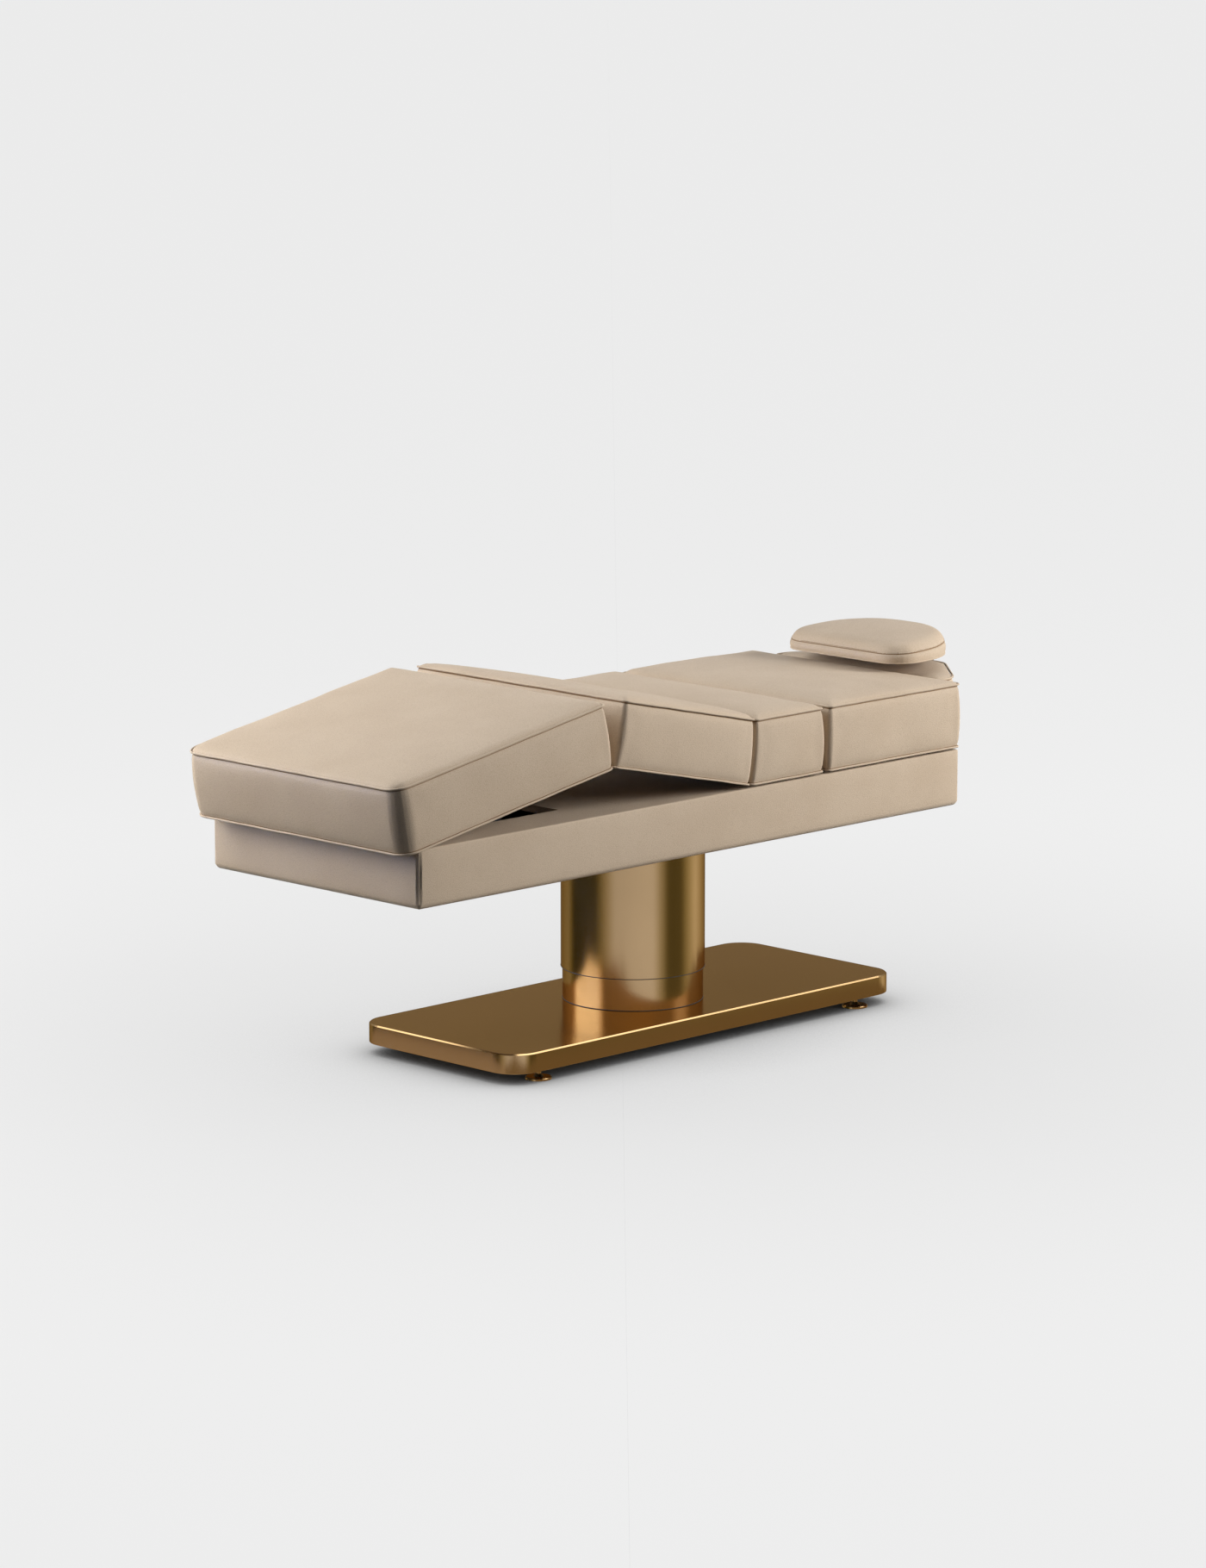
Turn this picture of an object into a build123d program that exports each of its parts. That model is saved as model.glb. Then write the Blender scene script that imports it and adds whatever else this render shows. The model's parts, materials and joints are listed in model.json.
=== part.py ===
"""Treatment bed for eyelash work: a column-lift plinth with jointed cushions.

Millimetres. X runs from the foot end to the head end, Y across, Z up from the floor.
The model is drawn about the middle of the plinth and moved to its own middle when written.
"""

from build123d import *

import os
from math import acos, asin, atan2, cos, degrees, hypot, radians, sin, sqrt, tan

# Clearances and small allowances
overrun = 2.0
slide_gap = 0.3
run_gap = 0.4
hinge_gap = 0.6

# Base plate with its hidden frame
plate_length = 1328.0
plate_width = 540.0
plate_corner = 72.0
plate_height = 48.0
plate_bevel = 3.0
plate_lower_round = 1.5
plate_wall = 3.0
plate_ground_gap = 28.0
plate_opening_radius = 160.0
frame_rail_width = 60.0
frame_rail_height = 32.0
frame_rail_wall = 4.0
frame_edge_inset = 12.0
frame_cross_inset = 190.0
mount_plate_side = 340.0
mount_plate_thickness = 10.0

# Levelling feet
foot_radius = 31.0
foot_disc_height = 6.0
foot_stem_radius = 6.0
foot_stem_length = 44.0
foot_end_inset = 117.0
foot_side_inset = 39.0
foot_nut_radius = 10.5
foot_nut_height = 8.0
foot_cone_radius = 13.0
foot_cone_height = 7.0

# Lift column
column_offset = 125.0
lower_sleeve_radius = 171.3
sleeve_overlap = 35.0
upper_sleeve_radius = 175.2
sleeve_wall = 2.5
sleeve_flange_reach = 12.0
upper_sleeve_foot_gap = 79.0
outer_tube_side = 150.0
outer_tube_wall = 5.0
outer_flange_side = 210.0
outer_flange_thickness = 10.0
inner_tube_side = 130.0
inner_tube_wall = 4.0
guide_pad_height = 40.0
guide_pad_width = 60.0
flange_bolt_radius = 6.0
flange_bolt_head_radius = 9.5
flange_bolt_head_height = 7.5
flange_bolt_inset = 17.0
lift_travel_up = 215.0
lift_travel_down = 65.0
lift_stop_gap = 8.0
lift_housing_radius = 26.0
lift_motor_radius = 22.0
lift_motor_height = 120.0
lift_gear_height = 34.0
lift_rod_radius = 15.0

# Plinth
plinth_length = 1830.0
plinth_width = 700.0
plinth_height = 140.0
plinth_bottom = 490.0
plinth_wall = 18.0
plinth_floor = 8.0
plinth_corner = 10.0
plinth_lower_round = 9.0
plinth_upper_round = 3.0
plinth_ledge = 20.0
deck_thickness = 18.0
deck_seam_inset = 719.0
column_hole_radius = 120.0
slot_foot_gap = 39.0
slot_head_gap = 213.0
slot_rail_gap = 27.0

# Carriage frame inside the plinth
rail_inset = 100.0
rail_width = 40.0
rail_height = 40.0
rail_wall = 3.0
rail_end_gap = 2.0
cross_inset = 40.0
head_plate_length = 300.0
head_plate_thickness = 10.0
seat_post_radius = 12.0

# Cushions, in the lowered pose
cushion_width = 700.0
cushion_thickness = 157.0
cushion_under_gap = 6.5
cushion_corner = 28.0
cushion_bulge = 5.0
cushion_crown = 8.0
seat_hinge_gap = 6.0
seat_foot_lean = 15.0
seat_head_gap = 10.0
back_foot_gap = 9.0
back_end_inset = 4.0
thigh_seat_gap = 6.0
thigh_seat_top_gap = 9.5
knee_half_gap = 5.5
leg_end_reach = 58.3
board_thickness = 12.0
board_margin = 24.0

# Hinges of the foot half
thigh_hinge_x = 166.0
hinge_rise = 1.5
knee_inset = 606.2
knee_rise = 103.6
foot_edge_gap = 0.8
knuckle_radius = 5.0
knuckle_pin_radius = 2.5
knuckle_count = 7
knuckle_inset = 70.0
leaf_reach = 62.0
leaf_thickness = 3.0
glide_thickness = 3.0
glide_width = 34.0
glide_margin = 30.0
rest_strip_height = 4.6
rest_strip_width = 12.0
rest_strip_inset = 24.0

# Leg lift: cross shaft, two arms and one crank
shaft_knee_gap = 252.2
shaft_z = 576.0
shaft_radius = 20.0
journal_radius = 15.0
arm_length = 150.0
arm_thickness = 10.0
arm_rail_gap = 74.0
arm_root_radius = 30.0
arm_tip_radius = 10.0
roller_radius = 14.0
roller_width = 24.0
roller_pin_radius = 6.0
crank_radius = 50.0
crank_plate = 8.0
crank_hub_radius = 28.0
crank_tip_radius = 13.0
crank_pin_radius = 7.0
crank_inner_y = 14.0
block_width = 30.0
block_length = 64.0
block_crown = 24.0
yoke_wall = 11.0
leg_rod_radius = 9.0
leg_rod_length = 165.0
leg_housing_radius = 22.0
leg_housing_gap = 79.0
leg_motor_radius = 20.0
leg_motor_length = 120.0
leg_motor_y = 50.0
gear_block_length = 34.0
drive_foot_height = 20.0

# Back lift: high hinge pins, sector arms and one crosshead
back_hinge_x = 431.0
back_hinge_rise = 148.0
back_raise = 55.0
goose_y = 200.0
goose_thickness = 12.0
goose_width = 24.0
goose_boss_radius = 9.0
goose_pin_radius = 4.0
goose_foot_length = 70.0
goose_foot_thickness = 5.0
swing_arm_thickness = 10.0
swing_arm_width = 20.0
sector_tip_z = 566.0
sector_half_width = 16.0
sector_thickness = 8.0
sector_inner_y = 26.0
sector_tip_radius = 17.0
sector_pin_radius = 6.0
frame_bar = 5.0
frame_bar_width = 50.0
back_bar_y = 230.0
sector_plate_gap = 74.0
sector_plate_length = 120.0
sector_window_margin = 6.0
crosshead_half = 15.0
back_rod_radius = 12.0
back_rod_length = 252.0
back_rod_z = 578.0
back_yoke_gap = 1.8
back_housing_radius = 28.0
back_housing_gap = 141.0
back_motor_radius = 24.0
back_motor_length = 130.0
back_motor_y = 62.0

# Head section
head_gap = 10.0
head_length = 204.0
head_thickness = 100.0
head_crown = 4.0
head_root_half_width = 283.0
head_tip_half_width = 110.0
head_corner = 60.0
head_hinge_inset = 15.0
head_hinge_drop = 21.0
head_lug_y = 150.0
head_lug_thickness = 8.0
head_lug_radius = 12.0
head_pin_radius = 5.0
socket_radius = 10.0
socket_inset = 41.0
socket_length = 150.0

# Head pillow on its two rods
pillow_overlap = 48.0
pillow_depth = 272.0
pillow_half_width = 187.0
pillow_gap = 34.5
pillow_front_thickness = 38.0
pillow_back_thickness = 54.0
pillow_round = 12.0
pillow_crown = 12.0
pillow_fullness = 1.6
pillow_corner_share = 0.34
pillow_board_thickness = 6.0
pillow_board_margin = 26.0
pillow_pivot_inset = 129.0
pillow_rod_y = 45.0
pillow_rod_radius = 6.0
pillow_rod_drop = 17.0
pillow_rod_bend = 22.0
pillow_rod_reach = 25.0
pillow_rod_inset = 55.0
pillow_cross_radius = 8.0
pillow_lug_y = 70.0
pillow_lug_thickness = 6.0

# Electrics
box_length = 190.0
box_width = 120.0
box_height = 46.0
box_column_gap = 315.0
box_rail_gap = 130.0
box_round = 6.0

# Heights that follow
plate_bottom = plate_ground_gap
plate_top = plate_bottom + plate_height
plinth_top = plinth_bottom + plinth_height
plinth_inside = plinth_bottom + plinth_floor
rail_top = plinth_inside + rail_height
deck_under = plinth_top - deck_thickness
cushion_under = plinth_top + cushion_under_gap
hinge_z = cushion_under + hinge_rise
back_hinge_z = plinth_top + back_hinge_rise
sector_radius = back_hinge_z - sector_tip_z
frame_bottom = plate_top - plate_wall - mount_plate_thickness - frame_rail_height
frame_top = frame_bottom + frame_rail_height
mount_top = frame_top + mount_plate_thickness
bar_bottom = cushion_under - frame_bar
head_under = plinth_top + cushion_under_gap + cushion_thickness - head_thickness
head_hinge_z = head_under - head_hinge_drop
pillow_under_z = cushion_under + cushion_thickness + pillow_gap
pillow_rod_z = pillow_under_z - pillow_rod_drop
column_low = mount_top + outer_flange_thickness
lower_sleeve_height = upper_sleeve_foot_gap + lift_travel_up + sleeve_overlap
outer_tube_top = rail_top - lift_travel_down - lift_stop_gap
inner_tube_foot = mount_top + lift_travel_down + lift_stop_gap
lift_rod_foot = inner_tube_foot + lift_gear_height
lift_housing_top = outer_tube_top - lift_stop_gap

# Places across that follow
rail_y = plinth_width / 2 - rail_inset
slot_half_width = rail_y - slot_rail_gap
arm_inner_y = rail_y - arm_rail_gap
knuckle_zone = cushion_width - 2 * knuckle_inset
box_y = rail_y - box_rail_gap

# Places along that follow
plinth_half = plinth_length / 2
deck_seam_x = deck_seam_inset - plinth_half
knee_flat_x = knee_inset - plinth_half
shaft_x = knee_flat_x - shaft_knee_gap
slot_foot_x = shaft_x - slot_foot_gap
slot_head_x = shaft_x + slot_head_gap
leg_housing_front_x = shaft_x - leg_housing_gap
thigh_length = thigh_hinge_x - knee_flat_x
seat_foot_x = thigh_hinge_x + seat_hinge_gap
seat_head_x = back_hinge_x - seat_head_gap
back_foot_x = back_hinge_x + back_foot_gap
back_head_x = plinth_half - back_end_inset
sector_plate_foot_x = back_hinge_x + sector_plate_gap
sector_plate_head_x = sector_plate_foot_x + sector_plate_length
back_housing_front_x = back_hinge_x + back_housing_gap
head_foot_x = back_head_x + head_gap
head_end_x = head_foot_x + head_length
head_hinge_x = head_foot_x + head_hinge_inset
socket_start_x = head_foot_x + socket_inset
socket_end_x = socket_start_x + socket_length
pillow_front_x = back_head_x - pillow_overlap
pillow_pivot_x = head_foot_x + pillow_pivot_inset
pillow_rod_end_x = head_end_x + pillow_rod_reach
pillow_rod_start_x = head_foot_x + pillow_rod_inset
box_x = column_offset - box_column_gap

# Inner faces of the cross tubes at the two ends of the carriage frame
cross_face = plinth_half - plinth_wall - rail_end_gap - cross_inset - rail_width / 2

# Angles that follow, in degrees
thigh_angle = degrees(asin(knee_rise / thigh_length))
knee_x = thigh_hinge_x - thigh_length * cos(radians(thigh_angle))
knee_z = hinge_z + knee_rise
edge_run = knee_x + plinth_half
edge_drop = knee_z - plinth_top - foot_edge_gap
edge_line = hypot(edge_run, edge_drop)
leg_angle = degrees(atan2(edge_drop, edge_run) - asin(hinge_rise / edge_line))
knee_angle = thigh_angle + leg_angle

# Lean of the thigh cushion, so that its raised top keeps clear of the seat cushion
thigh_top_reach = (cushion_thickness - hinge_rise) * tan(radians(thigh_angle))
thigh_top_room = (seat_hinge_gap + seat_foot_lean - thigh_seat_top_gap) / cos(radians(thigh_angle))
thigh_lean = thigh_top_reach - thigh_top_room - thigh_seat_gap

# Leg arm angles at the photographed and the lowered pose, and its travel
leg_slope = radians(leg_angle)
leg_offset = (knee_z - shaft_z) * cos(leg_slope) - (knee_x - shaft_x) * sin(leg_slope)
arm_lift = leg_offset - hinge_rise - roller_radius - run_gap
arm_angle = leg_angle + degrees(asin(arm_lift / arm_length))
arm_low_angle = degrees(asin((cushion_under - run_gap - roller_radius - shaft_z) / arm_length))
arm_travel = arm_angle - arm_low_angle
crank_side = crank_radius * sin(radians(arm_travel / 2))
crank_rest_x = shaft_x + crank_side
crank_rest_z = shaft_z - crank_radius * cos(radians(arm_travel / 2))
crank_low_z = shaft_z - crank_radius

# Back crank pin at rest, half the travel short of straight down
sector_side = sector_radius * sin(radians(back_raise / 2))
back_pin_x = back_hinge_x - sector_side
back_pin_z = back_hinge_z - sector_radius * cos(radians(back_raise / 2))
back_pin_low_z = back_hinge_z - sector_radius


def block(x, y, z):
    """Box between the limits of each axis."""
    size = [high - low for low, high in (x, y, z)]
    middle = [(high + low) / 2 for low, high in (x, y, z)]
    return Pos(*middle) * Box(*size)


def both_sides(solid):
    """The solid and its mirror image across the middle plane."""
    return [solid, mirror(solid, Plane.XZ)]


def round_x(y, z, radius, x):
    """Cylinder along X."""
    return Pos((x[0] + x[1]) / 2, y, z) * Rot(0, 90, 0) * Cylinder(radius, x[1] - x[0])


def round_y(x, z, radius, y):
    """Cylinder along Y."""
    return Pos(x, (y[0] + y[1]) / 2, z) * Rot(90, 0, 0) * Cylinder(radius, y[1] - y[0])


def round_z(x, y, radius, z):
    """Cylinder along Z."""
    return Pos(x, y, (z[0] + z[1]) / 2) * Cylinder(radius, z[1] - z[0])


def plate_xz(outline, y):
    """Plate cut from a face drawn in the XZ plane, between two values of Y."""
    return Pos(0, y[0], 0) * extrude(outline, y[1] - y[0], dir=(0, 1, 0))


def polygon_xz(points):
    """Face in the XZ plane through the points."""
    corners = [(x, 0, z) for x, z in points]
    return make_face(Polyline(*corners, close=True))


def tapered_link(start, start_radius, end, end_radius, y):
    """Plate between two round bosses, with tangent sides."""
    length = hypot(end[0] - start[0], end[1] - start[1])
    heading = atan2(end[1] - start[1], end[0] - start[0])
    spread = acos((start_radius - end_radius) / length)
    points = []
    for centre, radius, side in ((start, start_radius, 1), (start, start_radius, -1),
                                 (end, end_radius, -1), (end, end_radius, 1)):
        turn = heading + side * spread
        points.append((centre[0] + radius * cos(turn), centre[1] + radius * sin(turn)))
    link = plate_xz(polygon_xz(points), y)
    link += round_y(*start, start_radius, y)
    return link + round_y(*end, end_radius, y)


def square_tube(x, y, side, wall, z):
    """Upright square tube."""
    half = side / 2
    inside = half - wall
    outer = block((x - half, x + half), (y - half, y + half), z)
    bore_z = (z[0] - overrun, z[1] + overrun)
    return outer - block((x - inside, x + inside), (y - inside, y + inside), bore_z)


def rail_tube(x, y, z, wall, along):
    """Lying rectangular tube, open at both ends."""
    limits = {"x": x, "y": y, "z": z}
    bore = {name: (low + wall, high - wall) for name, (low, high) in limits.items()}
    low, high = limits[along]
    bore[along] = (low - overrun, high + overrun)
    return block(x, y, z) - block(bore["x"], bore["y"], bore["z"])


def raise_thigh(solid):
    """From the lowered pose to the photographed one, about the thigh hinge."""
    turn = Pos(thigh_hinge_x, 0, hinge_z) * Rot(0, thigh_angle, 0) * Pos(-thigh_hinge_x, 0, -hinge_z)
    return turn * solid


def raise_leg(solid):
    """From the lowered pose to the photographed one, about the knee and then the thigh hinge."""
    folded = Pos(knee_flat_x, 0, hinge_z) * Rot(0, -knee_angle, 0) * Pos(-knee_flat_x, 0, -hinge_z)
    return raise_thigh(folded * solid)


def plate_outline(inset, height):
    """Rounded outline of the base plate, drawn in from its edge."""
    length = plate_length - 2 * inset
    width = plate_width - 2 * inset
    corner = plate_corner - inset
    return Pos(column_offset, 0, height) * RectangleRounded(length, width, corner)


def base_cover():
    """Pressed cover of the base plate, open below, with a bevelled rim and the column opening."""
    solid = extrude(plate_outline(0, plate_bottom), plate_height)
    solid = fillet(solid.faces().sort_by(Axis.Z)[0].edges(), plate_lower_round)
    rim = solid.faces().sort_by(Axis.Z)[-1].edges()
    solid = chamfer(rim, plate_bevel)
    solid -= extrude(plate_outline(plate_wall, plate_bottom - overrun), plate_height - plate_wall + overrun)
    return solid - round_z(column_offset, 0, plate_opening_radius, (frame_top, plate_top + overrun))


def foot_places():
    """Centres of the four levelling feet."""
    reach_x = plate_length / 2 - foot_end_inset
    reach_y = plate_width / 2 - foot_side_inset
    return [(column_offset + i * reach_x, j * reach_y) for i in (-1, 1) for j in (-1, 1)]


def base_frame():
    """Welded frame under the cover: two long rails, two end rails, two under the column."""
    half_length = plate_length / 2 - plate_corner
    outer_y = plate_width / 2 - frame_edge_inset
    inner_y = outer_y - frame_rail_width
    z = (frame_bottom, frame_top)
    x = (column_offset - half_length, column_offset + half_length)
    side = rail_tube(x, (inner_y, outer_y), z, frame_rail_wall, "x")
    frame = side + mirror(side, Plane.XZ)
    inner = frame_cross_inset - frame_rail_width
    for place in (-half_length, -frame_cross_inset, inner, half_length - frame_rail_width):
        start = column_offset + place
        frame += rail_tube((start, start + frame_rail_width), (-inner_y, inner_y), z, frame_rail_wall, "y")
    for x, y in foot_places():
        frame += round_z(x, y, foot_nut_radius, z)
        frame -= round_z(x, y, foot_stem_radius + slide_gap, (z[0] - overrun, z[1] + overrun))
    return frame


def column_mount_plate():
    """Plate on the frame that carries the column."""
    half = mount_plate_side / 2
    return block((column_offset - half, column_offset + half), (-half, half), (frame_top, mount_top))


def levelling_foot(x, y):
    """Foot disc with its screw stem."""
    foot = round_z(x, y, foot_radius, (0, foot_disc_height))
    foot = chamfer(foot.edges().sort_by(Axis.Z)[-1], foot_disc_height / 3)
    cone_top = foot_disc_height + foot_cone_height
    cone = Cone(foot_cone_radius, foot_stem_radius, foot_cone_height)
    cone = Pos(x, y, (foot_disc_height + cone_top) / 2) * cone
    return foot + cone + round_z(x, y, foot_stem_radius, (cone_top, foot_disc_height + foot_stem_length))


def foot_lock_nuts():
    """Lock nuts of the four feet, against the underside of the frame."""
    nuts = []
    for x, y in foot_places():
        blank = extrude(RegularPolygon(foot_nut_radius, 6), foot_nut_height)
        nut = Pos(x, y, frame_bottom - foot_nut_height) * blank
        nuts.append(nut - round_z(x, y, foot_stem_radius + slide_gap, (0, plate_top)))
    return nuts


def lower_column_sleeve():
    """Fixed round sleeve that stands on the plate, with an inner foot flange."""
    z = (plate_top, plate_top + lower_sleeve_height)
    sleeve = round_z(column_offset, 0, lower_sleeve_radius, z)
    sleeve -= round_z(column_offset, 0, lower_sleeve_radius - sleeve_wall, (z[0] - overrun, z[1] + overrun))
    flange = round_z(column_offset, 0, lower_sleeve_radius, (z[0], z[0] + plate_wall))
    reach = lower_sleeve_radius - sleeve_wall - sleeve_flange_reach
    return sleeve + (flange - round_z(column_offset, 0, reach, (z[0] - overrun, z[1])))


def upper_column_sleeve():
    """Moving round sleeve that hangs from the plinth."""
    z = (plate_top + upper_sleeve_foot_gap, plinth_bottom)
    sleeve = round_z(column_offset, 0, upper_sleeve_radius, z)
    bore_z = (z[0] - overrun, z[1] + overrun)
    return sleeve - round_z(column_offset, 0, upper_sleeve_radius - sleeve_wall, bore_z)


def flange_bolt_places():
    """Corners of the column flange."""
    reach = outer_flange_side / 2 - flange_bolt_inset
    return [(column_offset + i * reach, j * reach) for i in (-1, 1) for j in (-1, 1)]


def lift_outer_tube():
    """Fixed square tube of the lift, with its bolted flange."""
    half = outer_flange_side / 2
    z = (mount_top, outer_tube_top)
    flange = block((column_offset - half, column_offset + half), (-half, half), (mount_top, column_low))
    tube = flange + square_tube(column_offset, 0, outer_tube_side, outer_tube_wall, z)
    inside = outer_tube_side / 2 - outer_tube_wall
    bore_x = (column_offset - inside, column_offset + inside)
    tube -= block(bore_x, (-inside, inside), (0, column_low + overrun))
    for x, y in flange_bolt_places():
        tube -= round_z(x, y, flange_bolt_radius + slide_gap, (0, column_low + overrun))
    return tube


def flange_bolts():
    """Bolts of the column flange, standing on the mount plate."""
    bolts = []
    for x, y in flange_bolt_places():
        shank = round_z(x, y, flange_bolt_radius, (mount_top, column_low))
        head = extrude(RegularPolygon(flange_bolt_head_radius, 6), flange_bolt_head_height)
        bolts.append(shank + Pos(x, y, column_low) * head)
    return bolts


def guide_pads(face, outward, thickness, z):
    """Four pads on the faces of a square tube, inside it or outside it."""
    half = guide_pad_width / 2
    low, high = sorted((face, face + outward * thickness))
    pads = []
    for turn in range(4):
        pad = block((low, high), (-half, half), z)
        pads.append(Pos(column_offset, 0, 0) * Rot(0, 0, turn * 90) * pad)
    return pads


def fixed_guide_pads():
    """Pads inside the top of the outer tube."""
    face = outer_tube_side / 2 - outer_tube_wall
    z = (outer_tube_top - guide_pad_height, outer_tube_top)
    return guide_pads(face, -1, face - inner_tube_side / 2 - slide_gap, z)


def moving_guide_pads():
    """Pads outside the foot of the inner tube."""
    face = inner_tube_side / 2
    room = outer_tube_side / 2 - outer_tube_wall - face
    return guide_pads(face, 1, room - slide_gap, (inner_tube_foot, inner_tube_foot + guide_pad_height))


def lift_inner_tube():
    """Moving square tube of the lift, up to the head plate."""
    return square_tube(column_offset, 0, inner_tube_side, inner_tube_wall, (inner_tube_foot, rail_top))


def lift_housing():
    """Upright drive inside the tubes: barrel, gear case and motor on the mount plate."""
    z = (mount_top, lift_housing_top)
    x = column_offset
    barrel = round_z(x, lift_motor_radius, lift_housing_radius, z)
    bore_z = (z[0] + lift_gear_height, z[1] + overrun)
    bore = round_z(x, lift_motor_radius, lift_rod_radius + slide_gap, bore_z)
    motor_y = lift_motor_radius - lift_housing_radius - lift_motor_radius - run_gap
    motor = round_z(x, motor_y, lift_motor_radius, (z[0], z[0] + lift_motor_height))
    reach = lift_motor_radius
    gear = block((x - reach, x + reach), (motor_y, lift_motor_radius), (z[0], z[0] + lift_gear_height))
    return barrel + gear + motor - bore


def lift_rod():
    """Push rod of the lift, up to the head plate."""
    return round_z(column_offset, lift_motor_radius, lift_rod_radius, (lift_rod_foot, rail_top))


def rounded_box(x, y, z, corner):
    """Upright box with round corners."""
    outline = RectangleRounded(x[1] - x[0], y[1] - y[0], corner)
    return Pos((x[0] + x[1]) / 2, (y[0] + y[1]) / 2, z[0]) * extrude(outline, z[1] - z[0])


def plinth_casing():
    """Upholstered tray of the plinth: four walls, floor with the column hole, ledge for the decks."""
    half_x = plinth_half
    half_y = plinth_width / 2
    casing = rounded_box((-half_x, half_x), (-half_y, half_y), (plinth_bottom, plinth_top), plinth_corner)
    casing = fillet(casing.faces().sort_by(Axis.Z)[0].edges(), plinth_lower_round)
    casing = fillet(casing.faces().sort_by(Axis.Z)[-1].edges(), plinth_upper_round)
    inside_x = half_x - plinth_wall
    inside_y = half_y - plinth_wall
    casing -= block((-inside_x, inside_x), (-inside_y, inside_y), (deck_under, plinth_top + overrun))
    ledge_x = inside_x - plinth_ledge
    ledge_y = inside_y - plinth_ledge
    ledge_z = (deck_under - plinth_ledge, deck_under + overrun)
    casing -= block((-ledge_x, ledge_x), (-ledge_y, ledge_y), ledge_z)
    casing -= block((-inside_x, inside_x), (-inside_y, inside_y), (plinth_inside, deck_under - plinth_ledge))
    hole_z = (plinth_bottom - overrun, plinth_inside + overrun)
    return casing - round_z(column_offset, 0, column_hole_radius, hole_z)


def deck_limits():
    """Inner faces of the plinth walls."""
    return plinth_half - plinth_wall, plinth_width / 2 - plinth_wall


def foot_deck():
    """Upholstered panel under the leg section, with the opening for the lifting arms."""
    reach_x, reach_y = deck_limits()
    z = (deck_under, plinth_top)
    deck = block((-reach_x, deck_seam_x - slide_gap), (-reach_y, reach_y), z)
    opening_y = (-slot_half_width, slot_half_width)
    return deck - block((slot_foot_x, slot_head_x), opening_y, (z[0] - overrun, z[1] + overrun))


def sector_crossing(radius, height):
    """Distance along X from the back hinge to where a circle about it meets a height."""
    return sqrt(radius ** 2 - (back_hinge_z - height) ** 2)


def head_deck():
    """Panel under the seat and the back, with the opening for the sector arms."""
    reach_x, reach_y = deck_limits()
    z = (deck_under, plinth_top)
    deck = block((deck_seam_x, reach_x), (-reach_y, reach_y), z)
    crossing = sector_crossing(sector_radius - sector_half_width, deck_under)
    start = back_hinge_x + crossing - sector_window_margin
    end = back_hinge_x + sector_crossing(sector_radius + sector_half_width, plinth_top) + sector_window_margin
    half = sector_inner_y + sector_thickness + sector_window_margin
    return deck - block((start, end), (-half, half), (z[0] - overrun, z[1] + overrun))


def carriage_frame():
    """Welded frame in the plinth: two long rails with cross tubes."""
    end = plinth_half - plinth_wall - rail_end_gap
    z = (plinth_inside, rail_top)
    half = rail_width / 2
    frame = rail_tube((-end, end), (rail_y - half, rail_y + half), z, rail_wall, "x")
    frame += mirror(frame, Plane.XZ)
    reach = rail_y - half
    near = column_offset - head_plate_length / 2 - rail_width
    far = column_offset + head_plate_length / 2
    for start in (-cross_face - rail_width, near, far, cross_face):
        frame += rail_tube((start, start + rail_width), (-reach, reach), z, rail_wall, "y")
    return frame


def head_plate():
    """Plate across the rails that the moving tube carries."""
    half = head_plate_length / 2
    reach = rail_y + rail_width / 2
    x = (column_offset - half, column_offset + half)
    return block(x, (-reach, reach), (rail_top, rail_top + head_plate_thickness))


def head_plate_bolts():
    """Bolt heads on the head plate, over the rails."""
    bolts = []
    reach = head_plate_length / 2 - flange_bolt_inset
    for i in (-1, 1):
        for j in (-1, 1):
            head = extrude(RegularPolygon(flange_bolt_head_radius, 6), flange_bolt_head_height)
            x = column_offset + i * reach
            bolts.append(Pos(x, j * rail_y, rail_top + head_plate_thickness) * head)
    return bolts


def control_box():
    """Box of the drive electronics on the floor of the plinth."""
    x = (box_x - box_length / 2, box_x + box_length / 2)
    y = (box_y - box_width / 2, box_y + box_width / 2)
    solid = block(x, y, (plinth_inside, plinth_inside + box_height))
    return fillet(solid.edges().filter_by(Axis.Z), box_round)


def outline_at(x, half_width, corner, z):
    """Rounded rectangle between two values of X, symmetric across."""
    length = x[1] - x[0]
    return Pos((x[0] + x[1]) / 2, 0, z) * RectangleRounded(length, 2 * half_width, corner)


def crown_drum(half_span, along, middle, height, crown):
    """Large lying cylinder whose top arches over a cushion."""
    radius = (half_span ** 2 + crown ** 2) / (2 * crown)
    drum = Cylinder(radius, 2 * plinth_length)
    if along == "x":
        return Pos(middle, 0, height + crown - radius) * Rot(0, 90, 0) * drum
    return Pos(middle, 0, height + crown - radius) * Rot(90, 0, 0) * drum


def cushion(x_low, x_high, under):
    """Boxed cushion: sides that swell between the seams, and a crowned top."""
    half = cushion_width / 2
    middle = tuple((low + high) / 2 for low, high in zip(x_low, x_high))
    swollen = (middle[0] - cushion_bulge, middle[1] + cushion_bulge)
    waist = under + cushion_thickness / 2
    top = under + cushion_thickness
    sections = [
        outline_at(x_low, half, cushion_corner, under),
        outline_at(swollen, half + cushion_bulge, cushion_corner + cushion_bulge, waist),
        outline_at(x_high, half, cushion_corner, top),
    ]
    body = loft(sections)
    cap = extrude(outline_at(x_high, half, cushion_corner, top), cushion_crown)
    centre = (x_high[0] + x_high[1]) / 2
    cap &= crown_drum(half, "x", centre, top, cushion_crown)
    cap &= crown_drum((x_high[1] - x_high[0]) / 2, "y", centre, top, cushion_crown)
    return body + cap


def board(x, half_width, under, thickness):
    """Plywood board let into the underside of a cushion."""
    limits = (x[0] + board_margin, x[1] - board_margin)
    return block(limits, (board_margin - half_width, half_width - board_margin), (under, under + thickness))


def seat_limits():
    """Ends of the seat cushion at its underside."""
    return seat_foot_x, seat_head_x


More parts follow.
